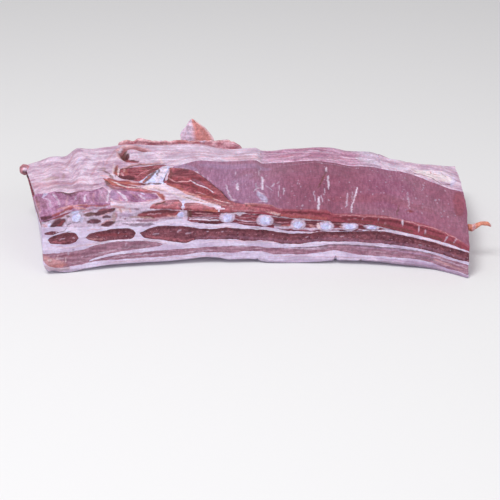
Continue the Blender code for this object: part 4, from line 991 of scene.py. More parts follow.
BACK_MUSCLE_MARKS = [
    (ROSE, 3, 0.5, (28, 140), (60, 141)), (RED, 2, 0.5, (60, 130), (75, 138)),
    (ROSE, 3, 0.45, (60, 158), (95, 160)),
    (FAT, 2.6, 0.6, (20, 148), (60, 150), (100, 148)), (FAT, 3.4, 0.6, (40, 166), (100, 168), (124, 160)),
    (ROSE, 2.4, 0.45, (85, 132), (122, 134)), (FAT_WHITE, 13, 0.7, (128, 140), (140, 132), (152, 124)),
    (FAT_WHITE, 10, 0.6, (130, 160), (150, 150)), (BROWN, 2, 0.7, (139, 127), (139.6, 127)),
    (BROWN, 1.8, 0.6, (112, 124), (112.6, 124)), (FAT, 2, 0.5, (30, 130), (70, 133), (110, 130)),
    (FAT_ROSE, 4, 0.5, (20, 170), (70, 172)),
]
FLANK_FAT_MARKS = [
    (LUMP_WHITE, 26, 0.95, (200, 122), (216, 114), (230, 106)),
    (FAT_WHITE, 8, 0.8, (204, 126), (222, 118), (236, 112)),
    # The thin brown lines from (189, 126), (212, 114) and (221, 94) and the rose line from (209, 123) are
    # painted shade in the lump's creases; the bluish line from (232, 94) to (238, 112) is painted shade as
    # well.
    (BROWN, 1.2, 0.85, (189, 126), (192, 117), (200, 109), (212, 104), (221, 94)),
    (ROSE, 1.2, 0.8, (209, 123), (212, 114), (222, 111)),
    (BROWN, 1, 0.7, (212, 114), (206, 110)), (BROWN, 1.2, 0.8, (221, 94), (231, 96), (239, 103)),
    (TAN, 1.4, 0.7, (224, 118), (228, 108)),
    (BLUISH, 5, 0.5, (232, 94), (236, 104), (238, 112)), (BROWN, 2.4, 0.7, (175, 127), (175.6, 127)),
    (FAT_WHITE, 9, 0.8, (160, 128), (185, 128)), (FAT_ROSE, 3, 0.5, (165, 145), (200, 146), (230, 140)),
    (FAT_ROSE, 3, 0.5, (170, 160), (220, 156)), (TAN, 3, 0.5, (190, 130), (196, 122)),
]


# ---------------------------------------------------------------- layers and what lies in them
def on_face(piece, marks, **options):
    piece.strokes(piece.station, piece.z, marks, piece.on_face, **options)


def fat_layers(context):
    material = tissue(context, "fat")
    start, end = FLANK_LEAN_START + 7, BRISKET_SEAM_END - 0.5
    for name, floor, ceiling, levels, first, last, marks in (
            ("skin_fat", None, SKIN_TOP, 18, LEFT, RIGHT, SKIN_FAT_MARKS),
            ("brisket_seam_fat", FLANK_TOP, BRISKET_UNDER, 6, start, end, []),
            ("seam_fat", seam_floor, DARK_UNDER, 14, LEFT, RIGHT, SEAM_FAT_MARKS),
            ("upper_seam_fat", DARK_OVER, SEAM_TOP, 12, LEFT, RIGHT, UPPER_SEAM_MARKS)):
        piece = layer(name, floor, ceiling, levels, first, last)
        on_face(piece, marks)
        piece.finish(material, "fat", grain_of(piece))


def lean_layers(context):
    sink = -context.scene.belly_sizes.lean_sink / MM
    pale, dark = tissue(context, "pale_lean"), tissue(context, "dark_lean")
    flank = layer("flank_lean", SKIN_TOP, FLANK_TOP, 14, FLANK_LEAN_START + 2, RIGHT, sink)
    on_face(flank, FLANK_LEAN_MARKS)
    flank.finish(pale, "pale_lean", grain_of(flank))
    brisket = layer("brisket_lean", BRISKET_UNDER, BRISKET_TOP, 18, LEFT, BRISKET_LEAN_END - 0.5, sink)
    on_face(brisket, BRISKET_LEAN_MARKS)
    brisket.finish(pale, "pale_lean", grain_of(brisket))
    for name, (start, end) in DARK_TIPS.items():
        streak = layer(name, DARK_UNDER, DARK_OVER, 14, start + 0.5, end if end == RIGHT else end - 0.5, sink)
        on_face(streak, DARK_LEAN_MARKS)
        streak.finish(dark, "dark_lean", grain_of(streak))


def rod(name, size, proud, steps=18):
    """A rib or streak that runs through the slab, with a round section and a domed front end."""
    station, height, width, depth = size
    ring = np.sin(np.linspace(-1, 1, steps + 1) * np.pi / 2)
    piece = Piece(name, ring, LAYER_ROWS, ring)
    right, up = piece.u * np.sqrt(1 - piece.w ** 2 / 2), piece.w * np.sqrt(1 - piece.u ** 2 / 2)
    reach = np.hypot(right, up)
    share = 1 - LAYER_DROP * shoulder(station, piece.v)
    lump = 1 + 0.10 * noise(right * 2 + station, up * 2, 1.1, 61) - 0.06 * np.clip(1 - piece.v / 0.01, 0, 1)
    set_on_slab(piece, station + right * lump * width / 2, piece.v, height * share + up * lump * depth / 2)
    dome = proud * (1 - 0.8 * reach ** 3) + 0.25 * noise(right * 3, up * 3 + station, 1.0, 67)
    piece.y = piece.y - dome * np.clip(1 - piece.v / 0.012, 0, 1)
    piece.reach = reach
    return piece


def dark_streak(context):
    piece = rod("dark_streak", DARK_STREAK, 0.2)
    piece.finish(tissue(context, "dark_lean"), "dark_lean", grain_of(piece))


def ribs(context):
    material = tissue(context, "bone")
    for name, size in RIBS.items():
        piece = rod(name, size, RIB_PROUD)
        piece.brush(0.75 * piece.on_face * ease((piece.reach - 0.70) / 0.30), FAT)
        piece.finish(material, "bone", (piece.station, piece.across * 150, piece.z))


def rib_band(context):
    columns = along_slab(LEFT, RIB_BAND_END, 1.0)

    def fat_share(station, height):
        share = ease((HALO_START - station) / 3)
        for middle, up, width, depth in RIBS.values():
            reach = np.hypot((station - middle) / (width / 2 + HALO_LEFT),
                             (height - up) / (depth / 2 + HALO_UP))
            share = np.maximum(share, 1 - ease((reach - 0.92) / 0.22))
        return share

    piece = Piece("rib_band", columns, LAYER_ROWS, np.linspace(0, 1, 25))
    station, across = piece.u, piece.v
    share = 1 - LAYER_DROP * shoulder(station, across)
    close = np.clip((RIB_BAND_END - station) / 3, 0, 1) * BITE
    low, high = SEAM_TOP(station) * share - close, BAND_TOP(station) * share + close
    height = low + (high - low) * piece.w
    wander_x, wander_z = rough(station, height, 71, (4, 0.9)), rough(station, height, 73, (4, 0.7))
    fat = fat_share(station + wander_x, height + wander_z)
    set_on_slab(piece, station, across, height, -0.3 - MEAT_SINK * (1 - fat))
    piece.brush(fat * piece.on_face, FAT)
    on_face(piece, RIB_BAND_MARKS)
    piece.finish(tissue(context, "rib_meat"), "red_trim", grain_of(piece))


# ---------------------------------------------------------------- the upper side
TOP_LEVELS = np.array([0, 0.2, 0.4, 0.55, 0.67, 0.77, 0.85, 0.91, 0.96, 1.0])
EDGE_REACH = 2.6                    # a muscle's edge rolls down over this width


def surface(station, across):
    """Height of the upper side with its gentle unevenness."""
    return roof(station, across) + rough(station, across * depth_at(station), 41, *TOP_RELIEF) - 0.4


def roll(gap, drop, reach=EDGE_REACH):
    """How much lower a surface lies at a distance from its edge."""
    return drop * (1 - ease(gap / reach))


def border(points):
    """A border given in plan as a share across for each station."""
    points = np.array(points, float)
    dense = np.vstack([np.linspace(a, b, 8) for a, b in zip(points[:-1], points[1:])])
    station, across = slab_place(*dense.T)
    order = np.argsort(station)
    return lambda at: np.interp(at, station[order], across[order])


def top_piece(name, start, end, lower=None, upper=None, step=STEP):
    """The grid of a piece of the upper side, between two borders or the slab's own edges."""
    columns = along_slab(start, end, step)
    rows = spaced(0, 1, step / 150, rim=(0.0035, 0.007, 0.012, 0.018, 0.026))
    piece = Piece(name, columns, rows, TOP_LEVELS)
    low = 0.0 if lower is None else lower(piece.u)
    high = 1.0 if upper is None else upper(piece.u)
    piece.share_across = low + (high - low) * piece.v
    depth = depth_at(piece.u)
    piece.gaps = [piece.v * (high - low) * depth if lower is not None else np.full_like(depth, 99.0),
                  (1 - piece.v) * (high - low) * depth if upper is not None else np.full_like(depth, 99.0)]
    piece.gaps += [piece.u - start if start > LEFT else np.full_like(depth, 99.0),
                   end - piece.u if end < RIGHT else np.full_like(depth, 99.0)]
    return piece


def set_top(piece, station, across, top, proud=0.0, bottom=None):
    """Fill a top piece from the rib band up to a height, with its lip and back edge rounded."""
    share = 1 - LAYER_DROP * shoulder(station, across)
    low = BAND_TOP(station) * share if bottom is None else bottom
    height = low + np.maximum(top - low, 0.3) * piece.w
    depth = depth_at(station)
    radius = np.minimum(LIP_ROUND, 0.7 * (top - low))
    front, under = round_off(across * depth, top - height, radius)
    back, under = round_off((1 - across) * depth, under, radius)
    across = np.where(across < 0.5, front / depth, 1 - back / depth)
    set_on_slab(piece, station, across, top - under, proud)
    piece.on_top = (piece.w > 0.9) * 1.0
    return piece


def on_top(piece, marks, **options):
    piece.strokes(piece.x, piece.y, marks, piece.on_top, **options)


def lower_and_back(lower, upper):
    return list(lower) + list(upper)[::-1]


def bedded_outlines():
    """Closed outlines, in plan, of everything that lies in the cover fat."""
    outlines = [lower_and_back(*pair) for pair in BEDDED.values()]
    for (start, end), upper in LIPPED.values():
        outlines.append([(start, -40), (end, -40)] + upper[::-1])
    outlines.append([(-300, -60), *FORE_BACK, (-151, -60)])
    outlines.append([*WEDGE_LOWER, (WEDGE_LIP[0], -40), (40, -40), (40, 124), *SHEET_BACK[4::-1]])
    outlines.append([(12, 122), (40, 122), (40, 260), (12, 260)])
    return outlines


def cover_fat(context):
    piece = top_piece("cover_fat", LEFT, 16.0)
    station, across = piece.u, piece.share_across
    x, y, _ = spot(station, across, roof(station, across))
    top = surface(station, across)
    for outline in bedded_outlines():
        top = top - 3.0 * ease((inside_by(x, y, outline) - 0.2) / 2.6)
    slit, reach = along_line(x, y, SLIT)
    deep = 0.45 + 0.55 * ease((reach - 0.25) / 0.2) * (1 - ease((reach - 0.72) / 0.12))
    top = top - 4.6 * deep * (1 - ease(slit / 4.4)) + 1.6 * deep * (1 - ease(np.abs(slit - 6.5) / 4))
    top = top + 2.2 * (1 - ease(along_line(x, y, FOLD)[0] / 9))
    far_left = ease((-95 - x) / 50)
    top = top + far_left * (rough(x * 0.9 + y * 0.25, y * 0.35, 83, (9, 0.7), (4, 0.3)))
    top = top + (1 - far_left) * rough(x * 0.3, y + x * 0.06, 87, (8, 0.5), (4, 0.25))
    nub_gap = np.hypot(x - NUB_PLACE[0], y - NUB_PLACE[1])
    top = top - 2.0 * (1 - ease(nub_gap / 10))
    lipped = [(start, end) for (start, end), _ in LIPPED.values()] + [(-240, -151), (WEDGE_LIP[0], 60)]
    under = sum(ease((station - start) / 2) * ease((end - station) / 2) for start, end in lipped)
    set_top(piece, station, across, top, -3.0 * np.clip(under, 0, 1))
    piece.brush(0.4 * piece.on_top * ease((piece.x + 110) / 40), FAT_WHITE)
    on_top(piece, COVER_FAT_MARKS)
    on_top(piece, SLIT_MARKS)
    piece.strokes(piece.station, piece.z, [
        (FAT_WHITE, 5, 0.7, (-150, 73), (-130, 69.6), (-109, 67)),
        (AMBER, 2.4, 0.7, (-150, 70), (-136, 68)),
        (FAT_ROSE, 1.6, 0.5, (-146, 66), (-120, 64))], piece.on_face)
    piece.finish(tissue(context, "cover_fat"), "fat", grain_of(piece))


def fore_muscle(context):
    piece = top_piece("fore_muscle", LEFT, -150.6, upper=border([(-245, 30)] + FORE_BACK))
    station, across = piece.u, piece.share_across
    gap = np.minimum.reduce(piece.gaps[:3])
    x, y, _ = spot(station, across, roof(station, across))
    bundles = rough(x + 0.35 * y, y * 0.12, 91, (7, 0.7), (3, 0.35))
    top = surface(station, across) + context.scene.belly_sizes.muscle_rise / MM - roll(gap, 1.6) + bundles
    set_top(piece, station, across, top, 0.2)
    piece.brush(0.6 * piece.on_top * ease((station + 172) / 20), FORE_PALE)
    on_top(piece, FORE_MARKS)
    on_face(piece, FORE_FACE_MARKS)
    piece.finish(tissue(context, "fore_muscle"), "sheet_lean", (piece.x + 0.35 * piece.y, piece.y, piece.z))


def sheet_start():
    return float(slab_place(np.array([-91.0]), np.array([92.0]))[0][0])


def inner_muscle(context):
    lower, upper = border([*SHEET_FRONT, (24, 8), (30, 0), (240, -60)]), border(SHEET_BACK)
    piece = top_piece("inner_muscle", sheet_start(), RIGHT, lower, upper)
    station, across = piece.u, piece.share_across
    is_edge = ease((26 - station) / 6)
    top = surface(station, across) + context.scene.belly_sizes.muscle_rise / MM
    top = top - roll(piece.gaps[0], 1.3, 1.6) * is_edge - roll(np.minimum(piece.gaps[1], piece.gaps[2]), 1.1)
    lip = ease((station - 30) / 10) * ease((96 - station) / 8)
    fringe = 0.5 * rough(station, station * 0, 95, (4, 1.0), (1.8, 0.5)) * lip
    set_top(piece, station, across, top, 0.25 + 0.5 * np.clip(fringe, 0, 1))
    for reach, shade_colour in ((1 - ease((piece.x + 20) / 110), SHEET_LILAC),
                                (ease((piece.x - 10) / 40) * (1 - ease((piece.x - 110) / 50)), SHEET_DEEP),
                                (ease((piece.x - 170) / 40), SHEET_END),
                                (ease((rough(piece.x, piece.y, 181, (38, 0.8), (16, 0.4)) - 0.1) / 0.8),
                                 SHEET_BLOTCH)):
        piece.brush(0.6 * piece.on_top * reach, shade_colour)
    scattered = np.random.default_rng(5)
    flecks = [(FAT, size, 0.55, (x, y), (x + 0.3 * size, y + 2.2 * size))
              for x, y, size in zip(scattered.uniform(-60, 230, 150), scattered.uniform(14, 118, 150),
                                    scattered.uniform(0.7, 1.6, 150))]
    on_top(piece, flecks)
    on_top(piece, SHEET_MARKS)
    back_line = [(FAT_WHITE, 3, 0.6, *SHEET_BACK[1:])]
    # Painted highlight: amber and pink lines along the rounded lip, where its edge catches the light.
    lip_highlight = [(AMBER, 2, 0.7, *((x, lip_point(x) + 1.5) for x in np.linspace(-10, 34, 9))),
                (PINK, 1.2, 0.6, *((x, lip_point(x) + 0.6) for x in np.linspace(60, 230, 18)))]
    on_top(piece, back_line + lip_highlight)
    piece.brush(0.92 * piece.on_face, STRIP_RED)
    on_face(piece, STRIP_MARKS)
    piece.finish(tissue(context, "sheet"), "sheet_lean", grain_of(piece))


def back_pieces(context):
    sheet_edge = border(SHEET_BACK)
    for name, start, end, marks, slot in (("back_muscle", 10.0, 154.0, BACK_MUSCLE_MARKS, "pale_lean"),
                                          ("flank_fat", 151.0, RIGHT, FLANK_FAT_MARKS, "fat")):
        piece = top_piece(name, start, end, lower=sheet_edge)
        station, across = piece.u, piece.share_across
        x, y, _ = spot(station, across, roof(station, across))
        share = ease((x - 8) / 16)
        folds = share * rough(x * 0.3, y + x * 0.05, 97, (7, 0.6), (3, 0.3))
        folds = folds + (1 - share) * rough(x * 0.3, y + x * 0.06, 87, (8, 0.5), (4, 0.25))
        if name == "flank_fat":
            folds = folds + rough(x, y, 99, (12, 0.9), (5, 0.4))
        top = surface(station, across) - roll(piece.gaps[0], 1.0) + folds - 0.8 * (1 - ease((x - 9) / 5))
        set_top(piece, station, across, top)
        if name == "back_muscle":
            fade = piece.on_top * ease((x - 120) / 20)
            piece.brush(0.7 * np.maximum(fade, 1 - ease((x - 8) / 16)), FAT)
        on_top(piece, marks)
        on_top(piece, [(FAT_WHITE, 2.4, 0.5, *SHEET_BACK[1:])])
        material = tissue(context, "back_strip" if name == "back_muscle" else "cover_fat")
        piece.finish(material, slot, grain_of(piece))


def patch(name, lower, upper, rise, on_lip=False, grow=1.4, tuck=None):
    """A muscle between two lines in plan, bedded in what lies round it.

    on_lip says that it starts on the lip.
    """
    low, high = curve(lower), curve(upper)
    along = np.linspace(0, 1, 60)
    span = np.hypot(*(np.array(high(along)) - np.array(low(along))))
    length = np.hypot(*np.diff(np.array(low(along)), axis=1)).sum()
    piece = Piece(name, np.linspace(0, 1, max(8, round(length / STEP))),
                  spaced(0, 1, STEP / (span.max() + 3), rim=(0.02, 0.05, 0.09)), TOP_LEVELS)
    t, s = piece.u, piece.v
    inner = np.clip(t, 0.05, 0.95)
    toward = np.array(high(inner)) - np.array(low(inner))
    toward = toward / np.maximum(np.hypot(*toward), 1e-6)
    grow_low = 0.0 if on_lip else grow
    start, end = np.array(low(t)) - toward * grow_low, np.array(high(t)) + toward * grow
    x, y = start + (end - start) * s
    ahead = np.array(low(np.array([1.0]))) - np.array(low(np.array([0.0])))
    ahead = ahead / np.hypot(*ahead)
    x, y = x + ahead[0] * grow * (2 * t - 1) ** 9, y + ahead[1] * grow * (2 * t - 1) ** 9
    width = np.hypot(*(end - start))
    gap = np.minimum.reduce([np.full_like(t, 99.0) if on_lip else s * width, (1 - s) * width,
                             (t + 0.01) * length, (1.01 - t) * length])
    if tuck:
        gap = np.where(s * width < gap + 0.01, gap, np.minimum(s * width, 99.0))
    station, across = slab_place(x, y)
    top = surface(station, across) + rise - roll(gap, 2.2, 2.8)
    if tuck:
        top = top - roll((1 - s) * width, tuck, 7.0)
    top = top + rough(station * 0.4, across * depth_at(station), 131, (4, 0.35), (2, 0.15))
    share = 1 - LAYER_DROP * shoulder(station, across)
    bottom = np.maximum(top - 6.0, BAND_TOP(station) * share - 0.3)
    set_top(piece, station, across, top, 0.35, bottom)
    return piece


PATCH_MARKS = {
    "rib_membrane": [
        (LILAC, 8, 0.7, (-151, 28), (-147, 14)), (PURPLE, 8, 0.6, (-138, 30), (-128, 22), (-124, 16)),
        (FAT_WHITE, 3.6, 0.9, (-145, 29), (-139, 22), (-135, 14), (-132, 8)),
        (DARK, 3, 0.6, (-128, 25), (-125, 20)),
        (BROWN, 2, 0.6, (-128.6, 12), (-127.5, 12.4)), (FAT_WHITE, 3.4, 0.8, (-122, 27), (-115, 20)),
        (BLUISH, 2.4, 0.7, (-120, 32), (-116, 29)), (PURPLE, 5, 0.7, (-112, 31), (-105, 26)),
        (PINK, 5, 0.7, (-112, 16), (-104, 19), (-99, 24)), (FAT_ROSE, 2, 0.7, (-131, 30), (-122, 18)),
        (LILAC, 3, 0.7, (-118, 24), (-108, 22)), (PINK, 2, 0.7, (-143, 18), (-140, 9))],
    "neck_muscle_1": [
        # Painted shadow: the brown line along the upper edge of this muscle.
        (BROWN, 3, 0.8, (-148, 74), (-137, 81), (-121, 88), (-106, 95)),
        (ROSE, 7, 0.6, (-108, 92), (-104, 86)),
        (DARK, 10, 0.85, (-140, 59), (-131, 60)), (DARK, 6, 0.9, (-150, 61), (-136, 56), (-128, 57)),
        (BROWN, 5, 0.6, (-124, 78), (-116, 84)), (PINK, 2.6, 0.9, (-144, 68), (-142, 62)),
        (CREAM, 2.6, 0.95, (-148.5, 80), (-148, 62)), (ORANGE, 3, 0.8, (-151, 76), (-151, 62)),
        (AMBER, 2.4, 0.85, (-143, 78), (-142, 70)),
        (ROSE, 5, 0.55, (-134, 74), (-124, 76)), (BROWN, 3, 0.7, (-118, 66), (-112, 78), (-104, 88)),
        (ORANGE, 3, 0.7, (-140, 74), (-139, 66)), (PINK, 1, 0.6, (-128, 62), (-118, 74), (-110, 86))],
    "neck_muscle_2": [
        (ORANGE, 6, 0.9, (-164, 56), (-157, 49), (-148, 43), (-140, 40)),
        (BROWN, 4, 0.8, (-161, 50), (-155, 43)),
        (CREAM, 2.2, 0.95, (-162, 59), (-152, 50), (-145, 43), (-137, 39.5), (-128, 40), (-118, 42)),
        (RED, 3, 0.9, (-140, 45), (-128, 43), (-116, 43)),
        (ROSE, 3, 0.8, (-150, 40), (-136, 36), (-120, 37),
                                                              (-98, 36)),
        (PINK, 1.6, 0.7, (-126, 38.5), (-108, 38))],
    "rib_tip": [
        (BLUISH, 30, 0.9, (-102, 92), (-108, 60)), (LILAC, 4, 0.9, (-107, 90), (-114, 72), (-124, 53)),
        (PINK, 2.6, 0.9, (-105, 92), (-112, 74), (-121, 55)),
        (BROWN, 5.5, 0.9, (-107, 77), (-111, 66), (-118, 52)),
        (ORANGE, 2.4, 0.7, (-113, 63), (-119, 51)), (FAT_WHITE, 9, 0.9, (-97, 91), (-100, 72), (-103, 56)),
        (GREY, 3, 0.9, (-105, 86), (-103, 78), (-103.5, 70)), (BROWN, 2.6, 0.8, (-105, 72), (-104, 66)),
        (LILAC, 3, 0.8, (-100, 94), (-101, 84)), (GREY, 4, 0.7, (-99, 95), (-96, 92)),
        (DARK, 2.6, 1.0, (-91, 82), (-93.2, 70), (-96, 56)),
        (BROWN, 1.8, 0.9, (-122, 49), (-112, 51), (-98, 53))],
    "neck_muscle_3": [
        (PINK, 40, 0.35, (-96, 10), (-80, 14)), (MAUVE, 9, 0.5, (-94, 6), (-88, 18), (-82, 22)),
        (BROWN, 2.6, 0.9, (-105, 5), (-99, 11), (-93, 19)),
        (ROSE, 8, 0.6, (-84, 6), (-80, 18)), (PINK, 1.2, 0.6, (-92, 2), (-86, 18)),
        (PINK, 1, 0.6, (-80, 2), (-78, 18)),
        (PURPLE, 3, 0.5, (-77, 12), (-76, 4))],
    "neck_muscle_4": [
        (PINK, 40, 0.35, (-66, 10), (-46, 10)), (ROSE, 20, 0.3, (-66, 8), (-46, 8)),
        (PINK, 2, 0.7, (-66, 16), (-56, 18), (-44, 13)), (BROWN, 2.4, 0.9, (-68, 2), (-67, 1)),
        (PINK, 1.2, 0.6, (-62, 2), (-60, 14)), (MAUVE, 1.6, 0.6, (-56, 0), (-55, 14)),
        (PINK, 1.2, 0.6, (-50, 2), (-49, 12))],
}
PATCH_FACE_MARKS = {
    "neck_muscle_3": [(ROSE, 9, 0.8, (-100, 66), (-88, 68), (-78, 67)),
                      (RED, 3, 0.5, (-98, 63), (-78, 63.6)),
                      (FAT_ROSE, 1.2, 0.7, (-94, 66), (-80, 70))],
    "neck_muscle_4": [(ROSE, 8, 0.8, (-66, 64), (-50, 63), (-40, 62)),
                      (ORANGE, 4, 0.95, (-50, 60.4), (-34, 59.6)), (DARK, 1.4, 0.8, (-68, 63), (-64, 62)),
                      (CREAM, 1.4, 0.8, (-66, 60.6), (-60, 60)),
                      (RED, 2.4, 0.5, (-66, 61.6), (-52, 61))],
}


def neck_muscles(context):
    rise = context.scene.belly_sizes.muscle_rise / MM
    for name, (lower, upper) in BEDDED.items():
        piece = patch(name, lower, upper, rise)
        on_top(piece, PATCH_MARKS[name])
        kind, slot = {"rib_membrane": ("fore_muscle", "sheet_lean"),
                      "rib_tip": ("bone", "bone")}.get(name, ("red_muscle", "red_trim"))
        if name == "rib_tip":
            piece.z += 1.2 * piece.on_top * np.sin(np.pi * piece.v)
        piece.finish(tissue(context, kind), slot, grain_of(piece))
    for name, ((start, end), upper) in LIPPED.items():
        lower = [(x, float(lip_point(x))) for x in np.linspace(start, end, 9)]
        piece = patch(name, lower, upper, rise, on_lip=True)
        on_top(piece, PATCH_MARKS[name])
        on_face(piece, PATCH_FACE_MARKS[name])
        piece.finish(tissue(context, "red_muscle"), "red_trim", grain_of(piece))


def diaphragm(context):
    lip = [(x, float(lip_point(x))) for x in np.linspace(*WEDGE_LIP, 6)]
    piece = patch("diaphragm", WEDGE_LOWER + lip, SHEET_FRONT + [(31, 13)], 0.0, grow=2.6, tuck=1.9)
    on_top(piece, [
        (RED, 22, 0.7, (-88, 62), (-70, 62), (-50, 52)), (DARK, 18, 0.5, (-84, 76), (-66, 78)),
        (TAN, 3.6, 0.6, (-92, 90), (-84, 89), (-70, 87)), (BROWN, 3, 0.7, (-91, 88), (-89, 70), (-92, 56)),
        (ROSE, 4, 0.6, (-88, 72), (-80, 68), (-70, 70)), (MAUVE, 5, 0.6, (-64, 66), (-54, 58), (-48, 52)),
        (PINK, 2, 0.95, (-91, 65), (-85, 60), (-82, 58), (-76, 60), (-70, 60), (-66, 64)),
        (FAT_WHITE, 1.8, 0.95, (-67, 63), (-60, 57), (-52, 53), (-46, 50), (-41, 44)),
        (DARK, 4, 0.6, (-90, 58), (-74, 56), (-62, 52)),
        (ORANGE, 5, 0.8, (-92, 53), (-82, 49), (-74, 46)), (RED, 9, 0.8, (-60, 47), (-46, 42), (-34, 33)),
        (AMBER, 7, 0.9, (-91, 49), (-80, 42), (-68, 37), (-56, 33)),
        (CREAM, 3.5, 0.9, (-84, 43), (-70, 34), (-56, 29)),
        (ORANGE, 4, 0.8, (-58, 38), (-44, 33), (-30, 25)),
        (ROSE, 6, 0.8, (-50, 31), (-36, 24), (-26, 17)),
        (AMBER, 3, 0.7, (-48, 27), (-36, 21), (-26, 15)), (ROSE, 8, 0.6, (-30, 22), (-10, 14), (20, 13)),
        (CREAM, 1.6, 0.8, (-40, 31), (-30, 25), (-22, 19)), (PINK, 1.6, 0.7, (-60, 42), (-48, 38)),
        (PINK, 1.4, 0.8, (-22, 14), (0, 10)),
        # Painted shadow: the brown line along the sheet's front edge is the shade that the sheet casts on the
        # wedge.
        (BROWN, 4.4, 0.95, *SHEET_FRONT[2:]), (ORANGE, 2, 0.8, (-26, 26), (-10, 17), (8, 13)),
        (CREAM, 1.3, 0.9, (-20, 26.5), (-14, 24))])
    on_face(piece,
            [(ROSE, 8, 0.75, (-28, 62), (0, 61), (32, 58)), (FAT_ROSE, 1.4, 0.6, (-20, 60), (10, 59)),
                    (AMBER, 3.4, 0.7, (18, 58), (34, 56)), (CREAM, 2.2, 0.6, (22, 56.6), (32, 55.4))])
    piece.finish(tissue(context, "red_muscle"), "red_trim", grain_of(piece))


# ---------------------------------------------------------------- pieces outside the slab
def back_face(x):
    """Place of the slab's back face along x, at the height where it fans out most."""
    stations = np.linspace(LEFT, RIGHT, 60)
    return np.interp(x, stations + drift(stations, 1.0, FAN_HEIGHT), BACK_EDGE(stations))


def back_trim(context):
    piece = Piece("back_trim", spaced(TRIM_START, TRIM_END, STEP), np.linspace(0, 1, 9),
                  np.concatenate([np.linspace(0, 0.7, 12), np.linspace(0.74, 1, 14)]))
    x, across, up = piece.u, piece.v, piece.w
    ends = ease((x - TRIM_START) / 5) * ease((TRIM_END - x) / 5)
    crown = TRIM_TOP(x) - 0.1 - 1.2 * np.clip(0.5 + rough(x, x * 0, 141, (6, 0.8), (2.5, 0.5)), 0, 2)
    crown = crown - 1.6 * (2 * across - 1) ** 2
    hang = ease((x - TRIM_START) / 40) * ease((TRIM_END - x) / 40)
    foot = TRIM_FOOT + 16 * (1 - hang) + 4 * (1 + rough(x, x * 0, 147, (17, 0.6), (6, 0.4)))
    height = foot + (crown - foot) * up * (0.4 + 0.6 * ends)
    thickness = TRIM_THICKNESS * (0.25 + 0.75 * ends) * (0.3 + 0.7 * ease(up / 0.35)) - 1.2
    thickness = np.maximum(thickness + 0.9 * rough(x, height, 143, (8, 0.7), (3, 0.4)), 0.5)
    piece.set_place(x, back_face(x) + 0.2 + across * thickness * (1 - 0.35 * up ** 3), height)
    everywhere = np.ones_like(x)
    piece.strokes(x, height, [
        (FAT, 3, 0.8, (-60, 72), (-52, 74)), (FAT_WHITE, 4, 0.8, (-112, 76), (-104, 76)),
        (AMBER, 3, 0.6, (-158, 72), (-146, 78), (-134, 78)), (RED, 3, 0.5, (-130, 74), (-95, 71)),
        (ORANGE, 3, 0.5, (-90, 73), (-60, 71)), (FAT, 2.6, 0.7, (-36, 74), (-24, 74)),
        (FAT_ROSE, 3, 0.6, (-22, 70), (-10, 64))], everywhere)
    piece.finish(tissue(context, "trim"), "red_trim", (x, across * 8, height))


def back_flap(context):
    piece = Piece("back_flap", np.linspace(0, 1, 32), np.linspace(0, 1, 26), np.linspace(0, 1, 6))
    share, up, through = piece.u, piece.v, piece.w
    height = FLAP_FOOT - 6 + (FLAP_TOP + 5.6 - FLAP_FOOT) * up
    x = (1 - share) * FLAP_LEFT(height) + share * FLAP_RIGHT(height)
    x = x + 0.8 * rough(height, share * 0, 151, (5, 0.6)) * (2 * share - 1) ** 2
    rim = np.minimum(np.minimum(share, 1 - share) * 6, (1 - up) * 5)
    thickness = FLAP_THICKNESS * (0.22 + 0.78 * np.clip(rim, 0, 1) ** 0.5)
    cup = 2.2 * (2 * share - 1) ** 2 * up
    y = back_face(-64.0) + 1.5 + FLAP_CURL * up ** 2 + FLAP_THICKNESS / 2 + (through - 0.5) * thickness - cup
    piece.set_place(x, y + 0.4 * rough(x, height, 153, (6, 1.0)), height)
    everywhere = np.ones_like(x)
    piece.brush(0.9 * (1 - ease((share - 0.30) / 0.2)), FAT_WHITE)
    piece.brush(0.85 * ease((share - 0.42) / 0.12), FLAP_RED)
    piece.brush(0.8 * (1 - ease((1 - share) / 0.12)), CREAM)
    piece.strokes(x, height,
                  [(ROSE, 1.6, 0.5, (-62, 78), (-66, 92)), (FAT_ROSE, 1.2, 0.5, (-78, 80), (-74, 92)),
                              (AMBER, 2, 0.5, (-56, 80), (-60, 88))], everywhere)
    piece.finish(tissue(context, "trim"), "red_trim", (x, y, height))


def end_strand(context):
    ring = np.sin(np.linspace(-1, 1, 15) * np.pi / 2)
    piece = Piece("end_strand", np.linspace(0, 1, 40), ring, ring)
    path = np.array([(239.0, 15, 38.0, 4.0), *STRAND])
    reach = np.concatenate([[0], np.cumsum(np.linalg.norm(np.diff(path[:, :3], axis=0), axis=1))])
    x, y, z, radius = (smooth(*zip(reach / reach[-1], path[:, i]))(piece.u) for i in range(4))
    right, up = piece.v * np.sqrt(1 - piece.w ** 2 / 2), piece.w * np.sqrt(1 - piece.v ** 2 / 2)
    tip = 0.25 + 0.75 * np.sqrt(np.clip(1 - (1 - piece.u / 0.04).clip(0) ** 2, 0, 1))
    tip = tip * (0.3 + 0.7 * np.sqrt(np.clip(1 - (1 - (1 - piece.u) / 0.06).clip(0) ** 2, 0, 1)))
    size = radius * tip * (0.92 + 0.10 * rough(piece.u * 20, np.arctan2(up, right) * 3, 161, (2, 1.0)))
    piece.set_place(x, y + right * size, z + up * size)
    piece.brush(0.35 * ease(rough(x, z, 163, (3, 1.0)) * 2), FAT_WHITE)
    piece.finish(tissue(context, "strand"), "red_trim", (x, y, z))


